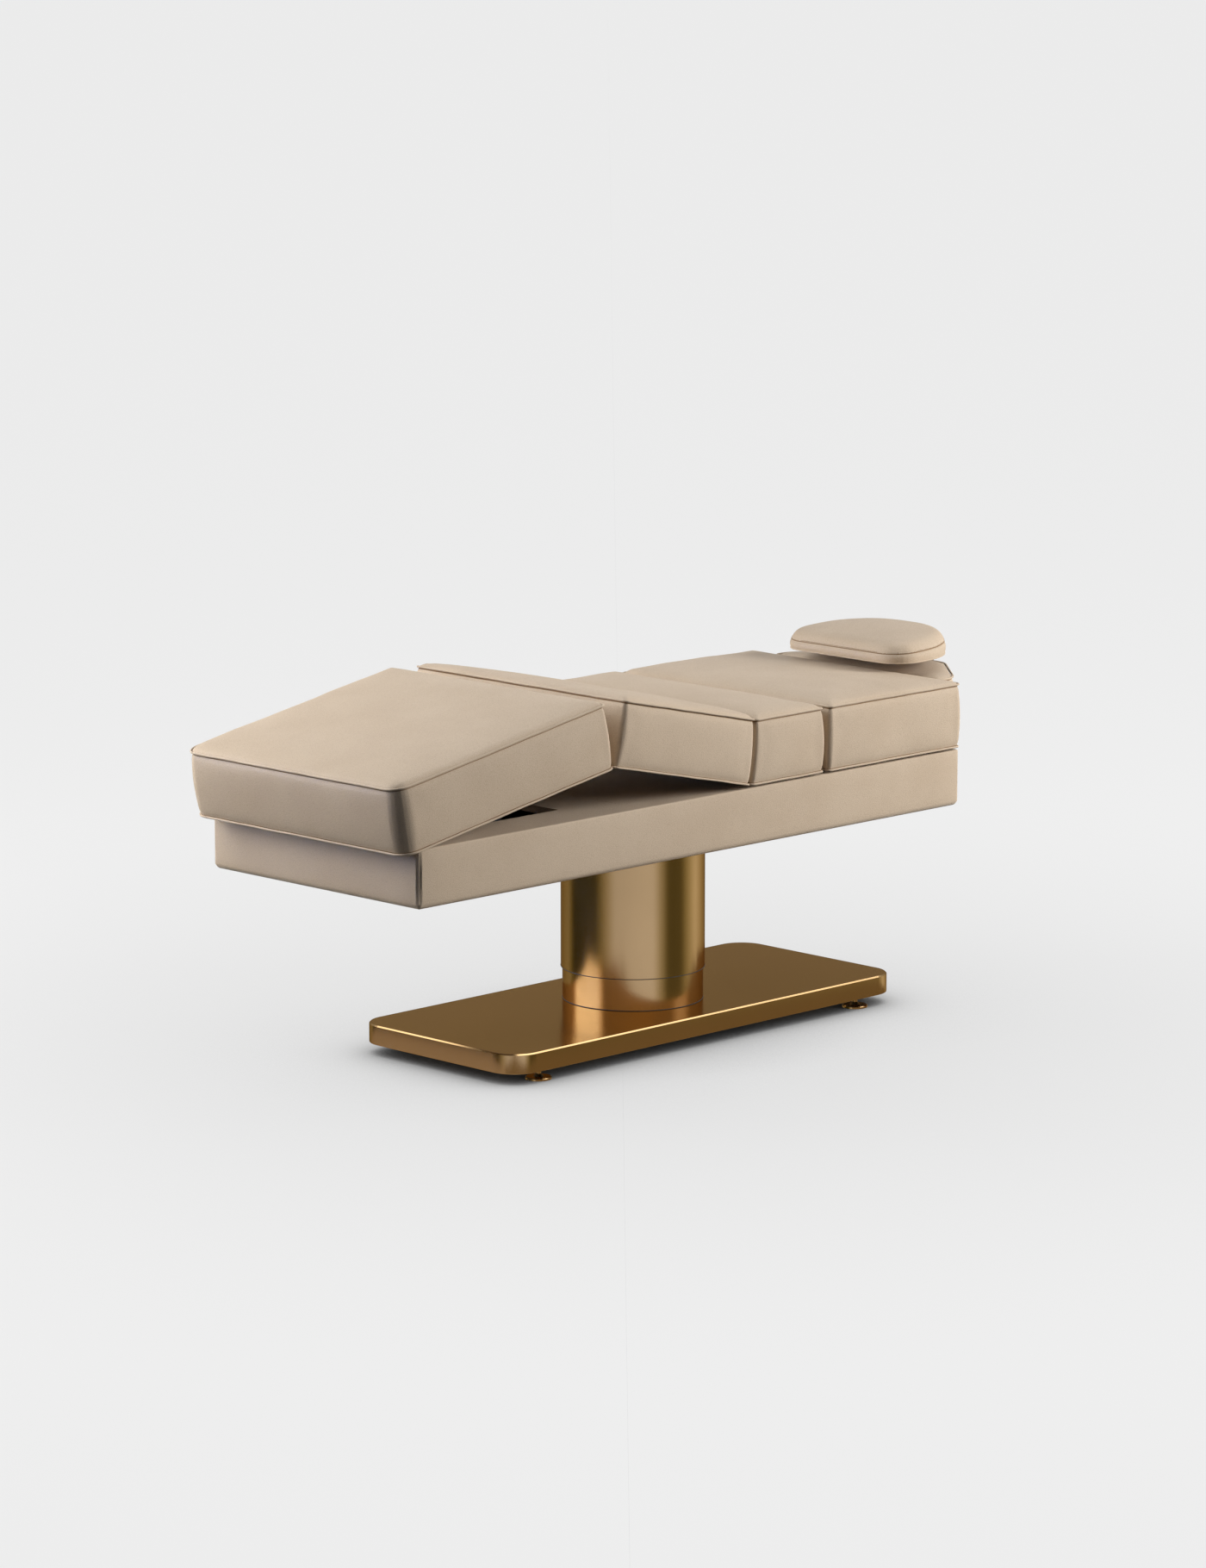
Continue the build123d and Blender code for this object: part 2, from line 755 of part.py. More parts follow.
def seat_board():
    """Board of the seat."""
    return board(seat_limits(), cushion_width / 2, cushion_under, board_thickness)


def hinge_pocket(x):
    """Pockets at the high back hinges, on both sides."""
    half = goose_thickness / 2 + hinge_gap
    y = (goose_y - half, goose_y + half + swing_arm_thickness + 2 * hinge_gap)
    top = back_hinge_z + goose_boss_radius + 2 * hinge_gap
    return both_sides(block(x, y, (plinth_top, top)))


def seat_cushion():
    """Seat cushion, with its board pocket and the pockets for the back hinges."""
    solid = cushion(seat_limits(), (seat_foot_x + seat_foot_lean, seat_head_x), cushion_under)
    solid -= seat_board()
    start = back_hinge_x - goose_width - hinge_gap
    for pocket in hinge_pocket((start, back_hinge_x)):
        solid -= pocket
    return solid


def seat_posts():
    """Posts that hold the seat board off the deck."""
    posts = []
    for i in (-1, 1):
        for j in (-1, 1):
            x = (seat_foot_x + seat_head_x) / 2 + i * (seat_head_x - seat_foot_x) / 4
            y = j * (cushion_width / 2 - 2 * cushion_corner)
            posts.append(round_z(x, y, seat_post_radius, (plinth_top, cushion_under)))
    return posts


def foot_rest_strip():
    """Nylon strip near the foot edge of the plinth, where the leg section rests."""
    start = rest_strip_inset - plinth_half
    half = cushion_width / 2 - 2 * board_margin
    z = (plinth_top, plinth_top + rest_strip_height)
    return block((start, start + rest_strip_width), (-half, half), z)


def back_limits():
    """Ends of the back cushion at its underside."""
    return back_foot_x, back_head_x


def back_board():
    """Board of the back."""
    return board(back_limits(), cushion_width / 2, cushion_under, board_thickness)


def back_cushion():
    """Back cushion, with its board pocket and the pockets for the back hinges."""
    solid = cushion(back_limits(), back_limits(), cushion_under)
    solid -= back_board()
    end = back_hinge_x + goose_boss_radius + swing_arm_width
    for pocket in hinge_pocket((back_hinge_x, end)):
        solid -= pocket
    return solid


def goose_brackets():
    """Fixed upright arms between seat and back that carry the high hinge pins."""
    half = goose_thickness / 2
    y = (goose_y - half, goose_y + half)
    left = back_hinge_x - goose_width
    right = back_hinge_x + goose_boss_radius / 2
    shoulder = back_hinge_z - goose_width
    points = [(left, plinth_top), (right, plinth_top), (right, shoulder),
              (back_hinge_x + goose_boss_radius, back_hinge_z),
              (back_hinge_x - goose_boss_radius, back_hinge_z), (left, shoulder)]
    arm = plate_xz(polygon_xz(points), y) + round_y(back_hinge_x, back_hinge_z, goose_boss_radius, y)
    foot_x = (right - goose_foot_length, right)
    foot_y = (y[0] - goose_width, y[0])
    arm += block(foot_x, (y[0], y[1]), (plinth_top, plinth_top + goose_foot_thickness))
    arm += block(foot_x, foot_y, (plinth_top, plinth_top + goose_foot_thickness))
    arm -= round_y(back_hinge_x, back_hinge_z, goose_pin_radius, (y[0] - overrun, y[1] + overrun))
    return both_sides(arm)


def back_hinge_pins():
    """Pins of the two high hinges, fixed in the upright arms."""
    start = goose_y - goose_thickness / 2
    end = goose_y + goose_thickness / 2 + hinge_gap + swing_arm_thickness + hinge_gap
    return both_sides(round_y(back_hinge_x, back_hinge_z, goose_pin_radius, (start, end)))


def swing_arm():
    """Moving arm of a high hinge, down to the bar under the back board."""
    start = goose_y + goose_thickness / 2 + hinge_gap
    y = (start, start + swing_arm_thickness)
    left = back_hinge_x + goose_boss_radius
    right = left + swing_arm_width - hinge_gap
    shoulder = back_hinge_z - goose_width
    points = [(left, bar_bottom), (right, bar_bottom), (right, shoulder),
              (back_hinge_x + goose_boss_radius, back_hinge_z),
              (back_hinge_x - goose_boss_radius, back_hinge_z), (left, shoulder)]
    arm = plate_xz(polygon_xz(points), y) + round_y(back_hinge_x, back_hinge_z, goose_boss_radius, y)
    bore_y = (y[0] - overrun, y[1] + overrun)
    bore = round_y(back_hinge_x, back_hinge_z, goose_pin_radius + slide_gap / 2, bore_y)
    return arm - bore


def sector_arm():
    """Arm that curves about the back hinge, from the plate under the back to the crank pin."""
    y = (sector_inner_y, sector_inner_y + sector_thickness)
    outer = round_y(back_hinge_x, back_hinge_z, sector_radius + sector_half_width, y)
    inner_y = (y[0] - overrun, y[1] + overrun)
    ring = outer - round_y(back_hinge_x, back_hinge_z, sector_radius - sector_half_width, inner_y)
    reach = sector_radius + 2 * sector_half_width
    tip = radians(back_raise / 2)
    low = back_hinge_z - reach
    left = back_hinge_x - reach * sin(tip)
    right = back_hinge_x + reach
    corners = [(back_hinge_x, back_hinge_z), (left, back_hinge_z - reach * cos(tip)), (left, low)]
    corners += [(right, low), (right, bar_bottom), (back_hinge_x, bar_bottom)]
    arm = ring & plate_xz(polygon_xz(corners), y)
    arm += round_y(back_pin_x, back_pin_z, sector_tip_radius, y)
    return arm - round_y(back_pin_x, back_pin_z, sector_pin_radius, inner_y)


def head_lug_outline():
    """Side view of the lugs that carry the head section."""
    left = head_hinge_x - head_lug_radius
    right = head_hinge_x + head_lug_radius
    start = back_head_x - frame_bar_width
    return polygon_xz([(start, bar_bottom), (right, bar_bottom), (right, head_hinge_z), (left, head_hinge_z),
                       (left, cushion_under), (start, cushion_under)])


def head_lug():
    """Lug of the head hinge on the back frame."""
    y = (head_lug_y, head_lug_y + head_lug_thickness)
    lug = plate_xz(head_lug_outline(), y) + round_y(head_hinge_x, head_hinge_z, head_lug_radius, y)
    return lug - round_y(head_hinge_x, head_hinge_z, head_pin_radius, (y[0] - overrun, y[1] + overrun))


def back_frame():
    """Steel frame under the back board, with the hinge arms, the sector arms and the head lugs."""
    z = (bar_bottom, cushion_under)
    start = back_hinge_x + goose_boss_radius
    end = back_head_x - board_margin
    half = frame_bar_width / 2
    side = block((start, end), (back_bar_y - half, back_bar_y + half), z)
    frame = side + mirror(side, Plane.XZ)
    frame += block((sector_plate_foot_x, sector_plate_head_x), (-back_bar_y, back_bar_y), z)
    frame += block((end - frame_bar_width, end), (-back_bar_y, back_bar_y), z)
    for piece in (swing_arm(), sector_arm(), head_lug()):
        frame += piece
        frame += mirror(piece, Plane.XZ)
    return frame


def back_crank_pin():
    """Pin across the tips of the sector arms."""
    reach = sector_inner_y + sector_thickness
    return round_y(back_pin_x, back_pin_z, sector_pin_radius, (-reach, reach))


def crosshead(x, low_z, high_z, slot, half_width):
    """Block with an upright slot for a crank pin."""
    wall = slot + yoke_wall
    head = block((x - wall, x + wall), (-half_width, half_width), (low_z - wall, high_z + wall))
    opening = block((x - slot, x + slot), (-half_width - overrun, half_width + overrun), (low_z, high_z))
    opening += round_y(x, low_z, slot, (-half_width - overrun, half_width + overrun))
    opening += round_y(x, high_z, slot, (-half_width - overrun, half_width + overrun))
    return head - opening


def back_rod():
    """Pull rod of the back drive, with its slotted crosshead."""
    slot = sector_pin_radius + back_yoke_gap
    head = crosshead(back_pin_x, back_pin_low_z, back_pin_z, slot, crosshead_half)
    start = back_pin_x + slot + yoke_wall
    return head + round_x(0, back_rod_z, back_rod_radius, (start, start + back_rod_length))


def drive_housing(front, direction, z, radius, rod_radius, motor):
    """Barrel, gear case and side motor of a lying drive, with a foot on the cross tube behind it."""
    motor_radius, motor_length, motor_y = motor
    back = direction * cross_face
    gear_start = back - direction * gear_block_length
    barrel = round_x(0, z, radius, sorted((front, gear_start)))
    gear_x = sorted((gear_start, back))
    gear = block(gear_x, (-radius, motor_y + motor_radius), (z - radius, z + radius))
    motor_x = sorted((gear_start, gear_start - direction * motor_length))
    can = round_x(motor_y, z, motor_radius, motor_x)
    lug_x = sorted((back, back + direction * rail_width))
    lug = block(lug_x, (-radius / 2, radius / 2), (rail_top, rail_top + drive_foot_height))
    bore = round_x(0, z, rod_radius + slide_gap, sorted((front - direction * overrun, gear_start)))
    return barrel + gear + can + lug - bore


def back_housing():
    """Drive of the back, behind the crosshead."""
    motor = (back_motor_radius, back_motor_length, back_motor_y)
    return drive_housing(back_housing_front_x, 1, back_rod_z, back_housing_radius, back_rod_radius, motor)


def leg_housing():
    """Drive of the legs, on the foot side of the cross shaft."""
    motor = (leg_motor_radius, leg_motor_length, leg_motor_y)
    return drive_housing(leg_housing_front_x, -1, crank_low_z, leg_housing_radius, leg_rod_radius, motor)


def leg_rod():
    """Push rod of the leg drive, with its slotted crosshead."""
    half = crank_inner_y - run_gap
    slot = crank_pin_radius + run_gap
    head = crosshead(crank_rest_x, crank_low_z, crank_rest_z, slot, half)
    start = crank_rest_x - slot - yoke_wall
    return head + round_x(0, crank_low_z, leg_rod_radius, (start - leg_rod_length, start))


def arm_tip():
    """Centre of the rollers at the photographed pose."""
    angle = radians(arm_angle)
    return shaft_x + arm_length * cos(angle), shaft_z + arm_length * sin(angle)


def leg_lift_shaft():
    """Cross shaft with the two lifting arms and the crank, welded up."""
    block_y = rail_y - block_width / 2
    shaft = round_y(shaft_x, shaft_z, shaft_radius, (run_gap - block_y, block_y - run_gap))
    journal = rail_y + block_width / 2 + run_gap
    shaft += round_y(shaft_x, shaft_z, journal_radius, (-journal, journal))
    y = (arm_inner_y, arm_inner_y + arm_thickness)
    tip = arm_tip()
    arm = tapered_link((shaft_x, shaft_z), arm_root_radius, tip, arm_tip_radius, y)
    pin_end = y[1] + run_gap + roller_width
    arm += round_y(*tip, roller_pin_radius, (y[0], pin_end))
    cheek_y = (crank_inner_y, crank_inner_y + crank_plate)
    pin = (crank_rest_x, crank_rest_z)
    cheek = tapered_link((shaft_x, shaft_z), crank_hub_radius, pin, crank_tip_radius, cheek_y)
    for piece in (arm, cheek):
        shaft += piece
        shaft += mirror(piece, Plane.XZ)
    return shaft + round_y(*pin, crank_pin_radius, (-cheek_y[1], cheek_y[1]))


def leg_rollers():
    """Nylon rollers on the tips of the lifting arms."""
    start = arm_inner_y + arm_thickness + run_gap
    y = (start, start + roller_width)
    tip = arm_tip()
    roller = round_y(*tip, roller_radius, y)
    roller -= round_y(*tip, roller_pin_radius, (y[0] - overrun, y[1] + overrun))
    return both_sides(roller)


def bearing_blocks():
    """Blocks on the rails that carry the cross shaft."""
    y = (rail_y - block_width / 2, rail_y + block_width / 2)
    half = block_length / 2
    solid = block((shaft_x - half, shaft_x + half), y, (rail_top, shaft_z - journal_radius))
    solid += block((shaft_x - block_crown, shaft_x + block_crown), y, (rail_top, shaft_z))
    solid += round_y(shaft_x, shaft_z, block_crown, y)
    bore = round_y(shaft_x, shaft_z, journal_radius + slide_gap / 2, (y[0] - overrun, y[1] + overrun))
    return both_sides(solid - bore)


def leaf_hinge(x, direction, first):
    """One leaf of a long hinge: a strip under a board and every other knuckle."""
    pitch = knuckle_zone / knuckle_count
    reach = direction * leaf_reach
    z = (cushion_under - leaf_thickness, cushion_under)
    strip_x = sorted((x + direction * (knuckle_radius + hinge_gap), x + reach))
    leaf = block(strip_x, (-knuckle_zone / 2, knuckle_zone / 2), z)
    for number in range(first, knuckle_count, 2):
        start = number * pitch - knuckle_zone / 2
        y = (start + hinge_gap / 2, start + pitch - hinge_gap / 2)
        leaf += round_y(x, hinge_z, knuckle_radius, y)
        leaf += block(sorted((x, x + direction * 2 * knuckle_radius)), y, z)
    bore_y = (-knuckle_zone / 2 - overrun, knuckle_zone / 2 + overrun)
    return leaf - round_y(x, hinge_z, knuckle_pin_radius + slide_gap / 2, bore_y)


def hinge_pin(x):
    """Pin through all the knuckles of a long hinge."""
    return round_y(x, hinge_z, knuckle_pin_radius, (-knuckle_zone / 2, knuckle_zone / 2))


def thigh_limits():
    """Ends of the thigh cushion at its underside, in the lowered pose."""
    return knee_flat_x + knee_half_gap, thigh_hinge_x - thigh_seat_gap


def thigh_board():
    """Board of the thigh section."""
    return board(thigh_limits(), cushion_width / 2, cushion_under, board_thickness)


def thigh_cushion():
    """Thigh cushion, cut back at the seat end so that it can tilt."""
    low = thigh_limits()
    return cushion(low, (low[0], low[1] - thigh_lean), cushion_under) - thigh_board()


def leg_limits():
    """Ends of the leg cushion at its underside, in the lowered pose."""
    return -plinth_half - leg_end_reach, knee_flat_x - knee_half_gap


def leg_board():
    """Board of the leg section, with grooves for the glide strips."""
    solid = board(leg_limits(), cushion_width / 2, cushion_under, board_thickness)
    for strip in leg_glide_strips():
        solid -= strip
    return solid


def leg_glide_strips():
    """Nylon strips let into the leg board, where the rollers run."""
    start = arm_inner_y + arm_thickness + run_gap + roller_width / 2 - glide_width / 2
    tip = arm_tip()
    far = knee_flat_x - hypot(tip[0] - knee_x, tip[1] - knee_z) - glide_margin
    near = shaft_x + arm_length * cos(radians(arm_low_angle)) + glide_margin
    x = (far, near)
    z = (cushion_under, cushion_under + glide_thickness)
    return both_sides(block(x, (start, start + glide_width), z))


def leg_cushion():
    """Leg cushion."""
    low = leg_limits()
    return cushion(low, low, cushion_under) - board(low, cushion_width / 2, cushion_under, board_thickness)


def head_outline(z, grow):
    """Outline of the head section: square to the back, tapering to a round end."""
    length = head_length
    root = head_root_half_width + grow
    tip = head_tip_half_width + grow
    start = head_foot_x - grow
    end = head_end_x + grow
    points = [(start, -root), (start + length / 4, -root), (end, -tip), (end, tip),
              (start + length / 4, root), (start, root)]
    face = make_face(Polyline(*points, close=True))
    corners = face.vertices().filter_by(lambda v: v.X > start + length / 2)
    shoulders = face.vertices().filter_by(lambda v: start + overrun < v.X < start + length / 2)
    face = fillet(corners, head_corner)
    shoulders = face.vertices().filter_by(lambda v: abs(v.X - start - length / 4) < overrun)
    face = fillet(shoulders, head_corner)
    return Pos(0, 0, z) * face


def head_board_limits():
    """Ends of the head board."""
    return head_foot_x + board_margin, head_end_x - board_margin


def head_board():
    """Board of the head section."""
    x = head_board_limits()
    root = head_root_half_width - 2 * board_margin
    tip = head_tip_half_width - board_margin
    points = [(x[0], -root), (x[1], -tip), (x[1], tip), (x[0], root)]
    face = Pos(0, 0, head_under) * make_face(Polyline(*points, close=True))
    return extrude(face, board_thickness)


def head_cushion():
    """Cushion of the head section."""
    top = head_under + head_thickness
    sections = [head_outline(head_under, 0), head_outline(head_under + head_thickness / 2, cushion_bulge),
                head_outline(top, 0)]
    body = loft(sections)
    cap = extrude(head_outline(top, 0), head_crown)
    centre = (head_foot_x + head_end_x) / 2
    cap &= crown_drum(head_root_half_width, "x", centre, top, head_crown)
    cap &= crown_drum(head_length / 2, "y", centre, top, head_crown)
    return body + cap - head_board()


def head_frame():
    """Plate under the head board, with hinge lugs and the two rod sockets."""
    x = head_board_limits()
    z = (head_under - frame_bar, head_under)
    half = head_lug_y + 2 * head_lug_thickness + run_gap
    frame = block((x[0], x[0] + frame_bar_width), (-half, half), z)
    frame += block((x[0], x[1]), (-pillow_rod_y - frame_bar_width / 2, pillow_rod_y + frame_bar_width / 2), z)
    y = (head_lug_y + head_lug_thickness + run_gap, half)
    lug = round_y(head_hinge_x, head_hinge_z, head_lug_radius, y)
    corners = [(head_hinge_x - head_lug_radius, head_hinge_z), (head_hinge_x + head_lug_radius, head_hinge_z)]
    corners += [(x[0] + frame_bar_width, z[0]), (x[0], z[0])]
    lug += plate_xz(polygon_xz(corners), y)
    bore_y = (y[0] - overrun, y[1] + overrun)
    lug -= round_y(head_hinge_x, head_hinge_z, head_pin_radius + slide_gap / 2, bore_y)
    socket_z = z[0] - socket_radius + slide_gap
    socket = round_x(pillow_rod_y, socket_z, socket_radius, (socket_start_x, socket_end_x))
    socket -= round_x(pillow_rod_y, socket_z, pillow_rod_radius + slide_gap / 2,
                      (socket_start_x - overrun, socket_end_x + overrun))
    for piece in (lug, socket):
        frame += piece
        frame += mirror(piece, Plane.XZ)
    return frame - both_sides(round_x(pillow_rod_y, socket_z, pillow_rod_radius + slide_gap / 2,
                                      (socket_start_x - overrun, socket_end_x + overrun)))


def head_hinge_pins():
    """Pins of the head hinge, fixed in the lugs of the back."""
    end = head_lug_y + 2 * head_lug_thickness + 2 * run_gap
    return both_sides(round_y(head_hinge_x, head_hinge_z, head_pin_radius, (head_lug_y, end)))


def pillow_rods():
    """Two bent rods and the cross tube that carry the head pillow."""
    socket_z = head_under - frame_bar - socket_radius + slide_gap
    path = FilletPolyline(
        (pillow_rod_start_x, pillow_rod_y, socket_z),
        (pillow_rod_end_x, pillow_rod_y, socket_z),
        (pillow_rod_end_x, pillow_rod_y, pillow_rod_z),
        (pillow_pivot_x, pillow_rod_y, pillow_rod_z),
        radius=pillow_rod_bend,
    )
    section = Plane(path @ 0, z_dir=path % 0) * Circle(pillow_rod_radius)
    rod = sweep(section, path)
    end = pillow_lug_y - run_gap
    rods = rod + mirror(rod, Plane.XZ)
    rods += round_y(pillow_pivot_x, pillow_rod_z, pillow_cross_radius, (-end, end))
    pin_end = pillow_lug_y + pillow_lug_thickness + run_gap
    return rods + round_y(pillow_pivot_x, pillow_rod_z, head_pin_radius, (-pin_end, pin_end))


def pillow_outline(inset):
    """Half-moon outline of the head pillow: a straight front and a full round back."""
    half = pillow_half_width - inset
    front = pillow_front_x + inset
    end = pillow_front_x + pillow_depth - inset
    corner = pillow_corner_share * pillow_half_width - inset / 2
    shoulder = front + corner
    points = [(shoulder, half), (end, 0), (shoulder, -half)]
    fullness = [pillow_fullness, pillow_fullness]
    back = Spline(points, tangents=[(1, 0), (-1, 0)], tangent_scalars=fullness)
    right = RadiusArc((shoulder, -half), (front, corner - half), corner)
    left = RadiusArc((front, half - corner), (shoulder, half), corner)
    edge = Line((front, corner - half), (front, half - corner))
    return make_face([back, right, edge, left])


def pillow_board():
    """Board in the underside of the head pillow."""
    return extrude(Pos(0, 0, pillow_under_z) * pillow_outline(pillow_board_margin), pillow_board_thickness)


def pillow_lugs():
    """Lugs under the pillow board, on the pins of the cross tube."""
    y = (pillow_lug_y, pillow_lug_y + pillow_lug_thickness)
    half = pillow_cross_radius
    x = (pillow_pivot_x - half, pillow_pivot_x + half)
    lug = block(x, y, (pillow_rod_z, pillow_under_z)) + round_y(pillow_pivot_x, pillow_rod_z, half, y)
    bore_y = (y[0] - overrun, y[1] + overrun)
    lug -= round_y(pillow_pivot_x, pillow_rod_z, head_pin_radius + slide_gap / 2, bore_y)
    return both_sides(lug)


def head_pillow():
    """Head pillow: thin at the front, full at the back, with a soft rim."""
    solid = extrude(Pos(0, 0, pillow_under_z) * pillow_outline(0), 2 * pillow_back_thickness)
    middle = pillow_front_x + pillow_depth / 2
    rise = pillow_back_thickness - pillow_front_thickness
    radius = (pillow_half_width ** 2 + pillow_crown ** 2) / (2 * pillow_crown)
    mean = (pillow_back_thickness + pillow_front_thickness) / 2
    tilt = Rot(0, -degrees(atan2(rise, pillow_depth)), 0)
    dome = Pos(middle, 0, pillow_under_z + mean + pillow_crown) * tilt * Pos(0, 0, -radius)
    solid &= dome * Sphere(radius)
    solid = fillet(solid.faces().sort_by(Axis.Z)[-1].edges(), pillow_round)
    return solid - pillow_board()


def pieces():
    """Every node with its solids, in the photographed pose."""
    nodes = {
        "base_cover": base_cover(),
        "base_frame": base_frame(),
        "column_mount_plate": column_mount_plate(),
        "foot_lock_nuts": foot_lock_nuts(),
        "lower_column_sleeve": lower_column_sleeve(),
        "lift_outer_tube": lift_outer_tube(),
        "lift_flange_bolts": flange_bolts(),
        "fixed_guide_pads": fixed_guide_pads(),
        "lift_drive_housing": lift_housing(),
        "upper_column_sleeve": upper_column_sleeve(),
        "lift_inner_tube": lift_inner_tube(),
        "moving_guide_pads": moving_guide_pads(),
        "lift_push_rod": lift_rod(),
        "lift_head_plate": head_plate(),
        "head_plate_bolts": head_plate_bolts(),
        "carriage_frame": carriage_frame(),
        "plinth_casing": plinth_casing(),
        "foot_deck": foot_deck(),
        "head_deck": head_deck(),
        "control_box": control_box(),
        "seat_posts": seat_posts(),
        "foot_rest_strip": foot_rest_strip(),
        "seat_board": seat_board(),
        "seat_cushion": seat_cushion(),
        "thigh_hinge_fixed_leaf": leaf_hinge(thigh_hinge_x, 1, 0),
        "thigh_hinge_pin": hinge_pin(thigh_hinge_x),
        "back_hinge_brackets": goose_brackets(),
        "back_hinge_pins": back_hinge_pins(),
        "leg_shaft_bearings": bearing_blocks(),
        "leg_drive_housing": leg_housing(),
        "back_drive_housing": back_housing(),
        "back_frame": back_frame(),
        "back_board": back_board(),
        "back_cushion": back_cushion(),
        "back_crank_pin": back_crank_pin(),
        "back_drive_rod": back_rod(),
        "head_hinge_pins": head_hinge_pins(),
        "head_frame": head_frame(),
        "head_board": head_board(),
        "head_cushion": head_cushion(),
        "pillow_rods": pillow_rods(),
        "pillow_lugs": pillow_lugs(),
        "pillow_board": pillow_board(),
        "head_pillow": head_pillow(),
        "leg_lift_shaft": leg_lift_shaft(),
        "leg_lift_rollers": leg_rollers(),
        "leg_drive_rod": leg_rod(),
    }
    for number, (x, y) in enumerate(foot_places(), start=1):
        nodes[f"levelling_foot_{number}"] = levelling_foot(x, y)
    thigh = {
        "thigh_cushion": thigh_cushion(),
        "thigh_board": thigh_board(),
        "thigh_hinge_moving_leaf": leaf_hinge(thigh_hinge_x, -1, 1),
        "knee_hinge_thigh_leaf": leaf_hinge(knee_flat_x, 1, 0),
        "knee_hinge_pin": hinge_pin(knee_flat_x),
    }
    leg = {
        "leg_cushion": leg_cushion(),
        "leg_board": leg_board(),
        "leg_glide_strips": leg_glide_strips(),
        "knee_hinge_leg_leaf": leaf_hinge(knee_flat_x, -1, 1),
    }
    for name, item in thigh.items():
        nodes[name] = placed(item, raise_thigh)
    for name, item in leg.items():
        nodes[name] = placed(item, raise_leg)
    return nodes


def placed(item, move):
    """One solid or a list of solids, moved."""
    if isinstance(item, list):
        return [move(solid) for solid in item]
    return move(item)


def as_compound(item):
    """One compound of all the solids of a node."""
    items = item if isinstance(item, list) else [item]
    solids = [solid for shape in items for solid in shape.solids()]
    return Compound(children=solids)


def middle_of(nodes):
    """Middle of the whole bed along X."""
    boxes = [item.bounding_box() for item in nodes.values()]
    low = min(box.min.X for box in boxes)
    high = max(box.max.X for box in boxes)
    return (low + high) / 2


nodes = {name: as_compound(item) for name, item in pieces().items()}
middle_x = middle_of(nodes)
os.makedirs("parts", exist_ok=True)
for name, item in nodes.items():
    export_step(Pos(-middle_x, 0, 0) * item, f"parts/{name}.step")
print("nodes", len(nodes), "middle", round(middle_x, 3))
print("thigh", round(thigh_angle, 3), "leg", round(leg_angle, 3))
print("arm", round(arm_angle, 3), "travel", round(arm_travel, 3))
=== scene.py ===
"""Looks of a column-lift treatment bed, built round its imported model."""

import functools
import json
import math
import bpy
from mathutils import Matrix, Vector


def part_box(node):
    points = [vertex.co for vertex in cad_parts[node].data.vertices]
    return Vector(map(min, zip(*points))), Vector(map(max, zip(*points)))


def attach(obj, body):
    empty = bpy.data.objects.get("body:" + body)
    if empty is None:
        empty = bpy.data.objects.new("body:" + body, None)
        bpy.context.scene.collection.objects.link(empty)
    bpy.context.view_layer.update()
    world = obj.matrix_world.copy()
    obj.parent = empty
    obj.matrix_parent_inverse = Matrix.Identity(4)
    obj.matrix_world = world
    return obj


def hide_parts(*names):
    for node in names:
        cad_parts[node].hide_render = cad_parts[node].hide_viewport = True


bl_info = {
    "name": "Treatment bed looks",
    "version": (1, 0, 0),
    "blender": (4, 5, 0),
    "location": "3D View > Sidebar > Treatment bed",
    "description": "Cushions, leather, metal and studio for a column-lift treatment bed",
    "category": "Object",
}

import bmesh
import bpy
import numpy as np
from bpy.props import FloatProperty, FloatVectorProperty, IntProperty, PointerProperty
from mathutils import Matrix, Vector, noise

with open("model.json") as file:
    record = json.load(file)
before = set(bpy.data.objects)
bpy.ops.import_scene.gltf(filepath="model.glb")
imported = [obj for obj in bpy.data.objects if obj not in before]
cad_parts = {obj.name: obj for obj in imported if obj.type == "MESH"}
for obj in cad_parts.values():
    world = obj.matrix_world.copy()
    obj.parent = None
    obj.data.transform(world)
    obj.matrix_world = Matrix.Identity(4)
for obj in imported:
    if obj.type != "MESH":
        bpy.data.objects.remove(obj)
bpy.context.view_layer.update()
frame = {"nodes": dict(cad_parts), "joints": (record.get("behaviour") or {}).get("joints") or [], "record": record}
joints = {joint["name"]: joint for joint in frame["joints"]}

# The CAD source is drawn about the middle of the plinth, so its X values move by this much
plinth_low, plinth_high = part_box("plinth_casing")
middle_x = (plinth_low.x + plinth_high.x) / 2

# Cushions about as the CAD source gives them, in the lowered pose: ends at the underside and at the top
# seam, half the width, for the foot end and the head end the corner radius and the share of swell, the share
# of the crown left at the head end, and the body
cushion_under = 0.6365
cushion_height = 0.157
cushions = {
    "leg": ((-0.986, -0.3165, -0.986, -0.3165), 0.360, (0.040, 0.012), (1.0, 0.45), 1.0, "leg_section"),
    "thigh": ((-0.3015, 0.160, -0.3015, 0.143), 0.354, (0.010, 0.010), (0.45, 0.45), 1.0, "thigh_section"),
    "seat": ((0.172, 0.4185, 0.187, 0.4150), 0.352, (0.008, 0.008), (0.45, 1.2), 1.0, "plinth"),
    "back": ((0.4415, 0.913, 0.445, 0.913), 0.352, (0.008, 0.014), (1.2, 1.0), 0.66, "backrest"),
}
head_under = 0.6935
head_height = 0.100
head_foot_x = 0.921
head_end_x = 1.125
head_root_half = 0.278
head_tip_half = 0.110
head_corner = 0.080
pillow_under = 0.828
pillow_front_x = 0.854
pillow_depth = 0.282
pillow_half = 0.201

# Pillow's stitched seam over its underside: height at the front, and how much more it is at the back
pillow_seam = 0.024
pillow_seam_rise = 0.012

# Fold beside each seam: how wide it is, which is also the width of its painted shade, and how far it is drawn in
fold = 0.0055
fold_depth = 0.0022

# Crown of a top panel: widths of the roll at its seam and of the low dome, and the roll's share of the height
roll_width = 0.065
dome_width = 0.22
roll_share = 0.72

# Shares of the crown and of the swell that a cushion has without the simulation
least_crown = 0.95
least_swell = 0.8

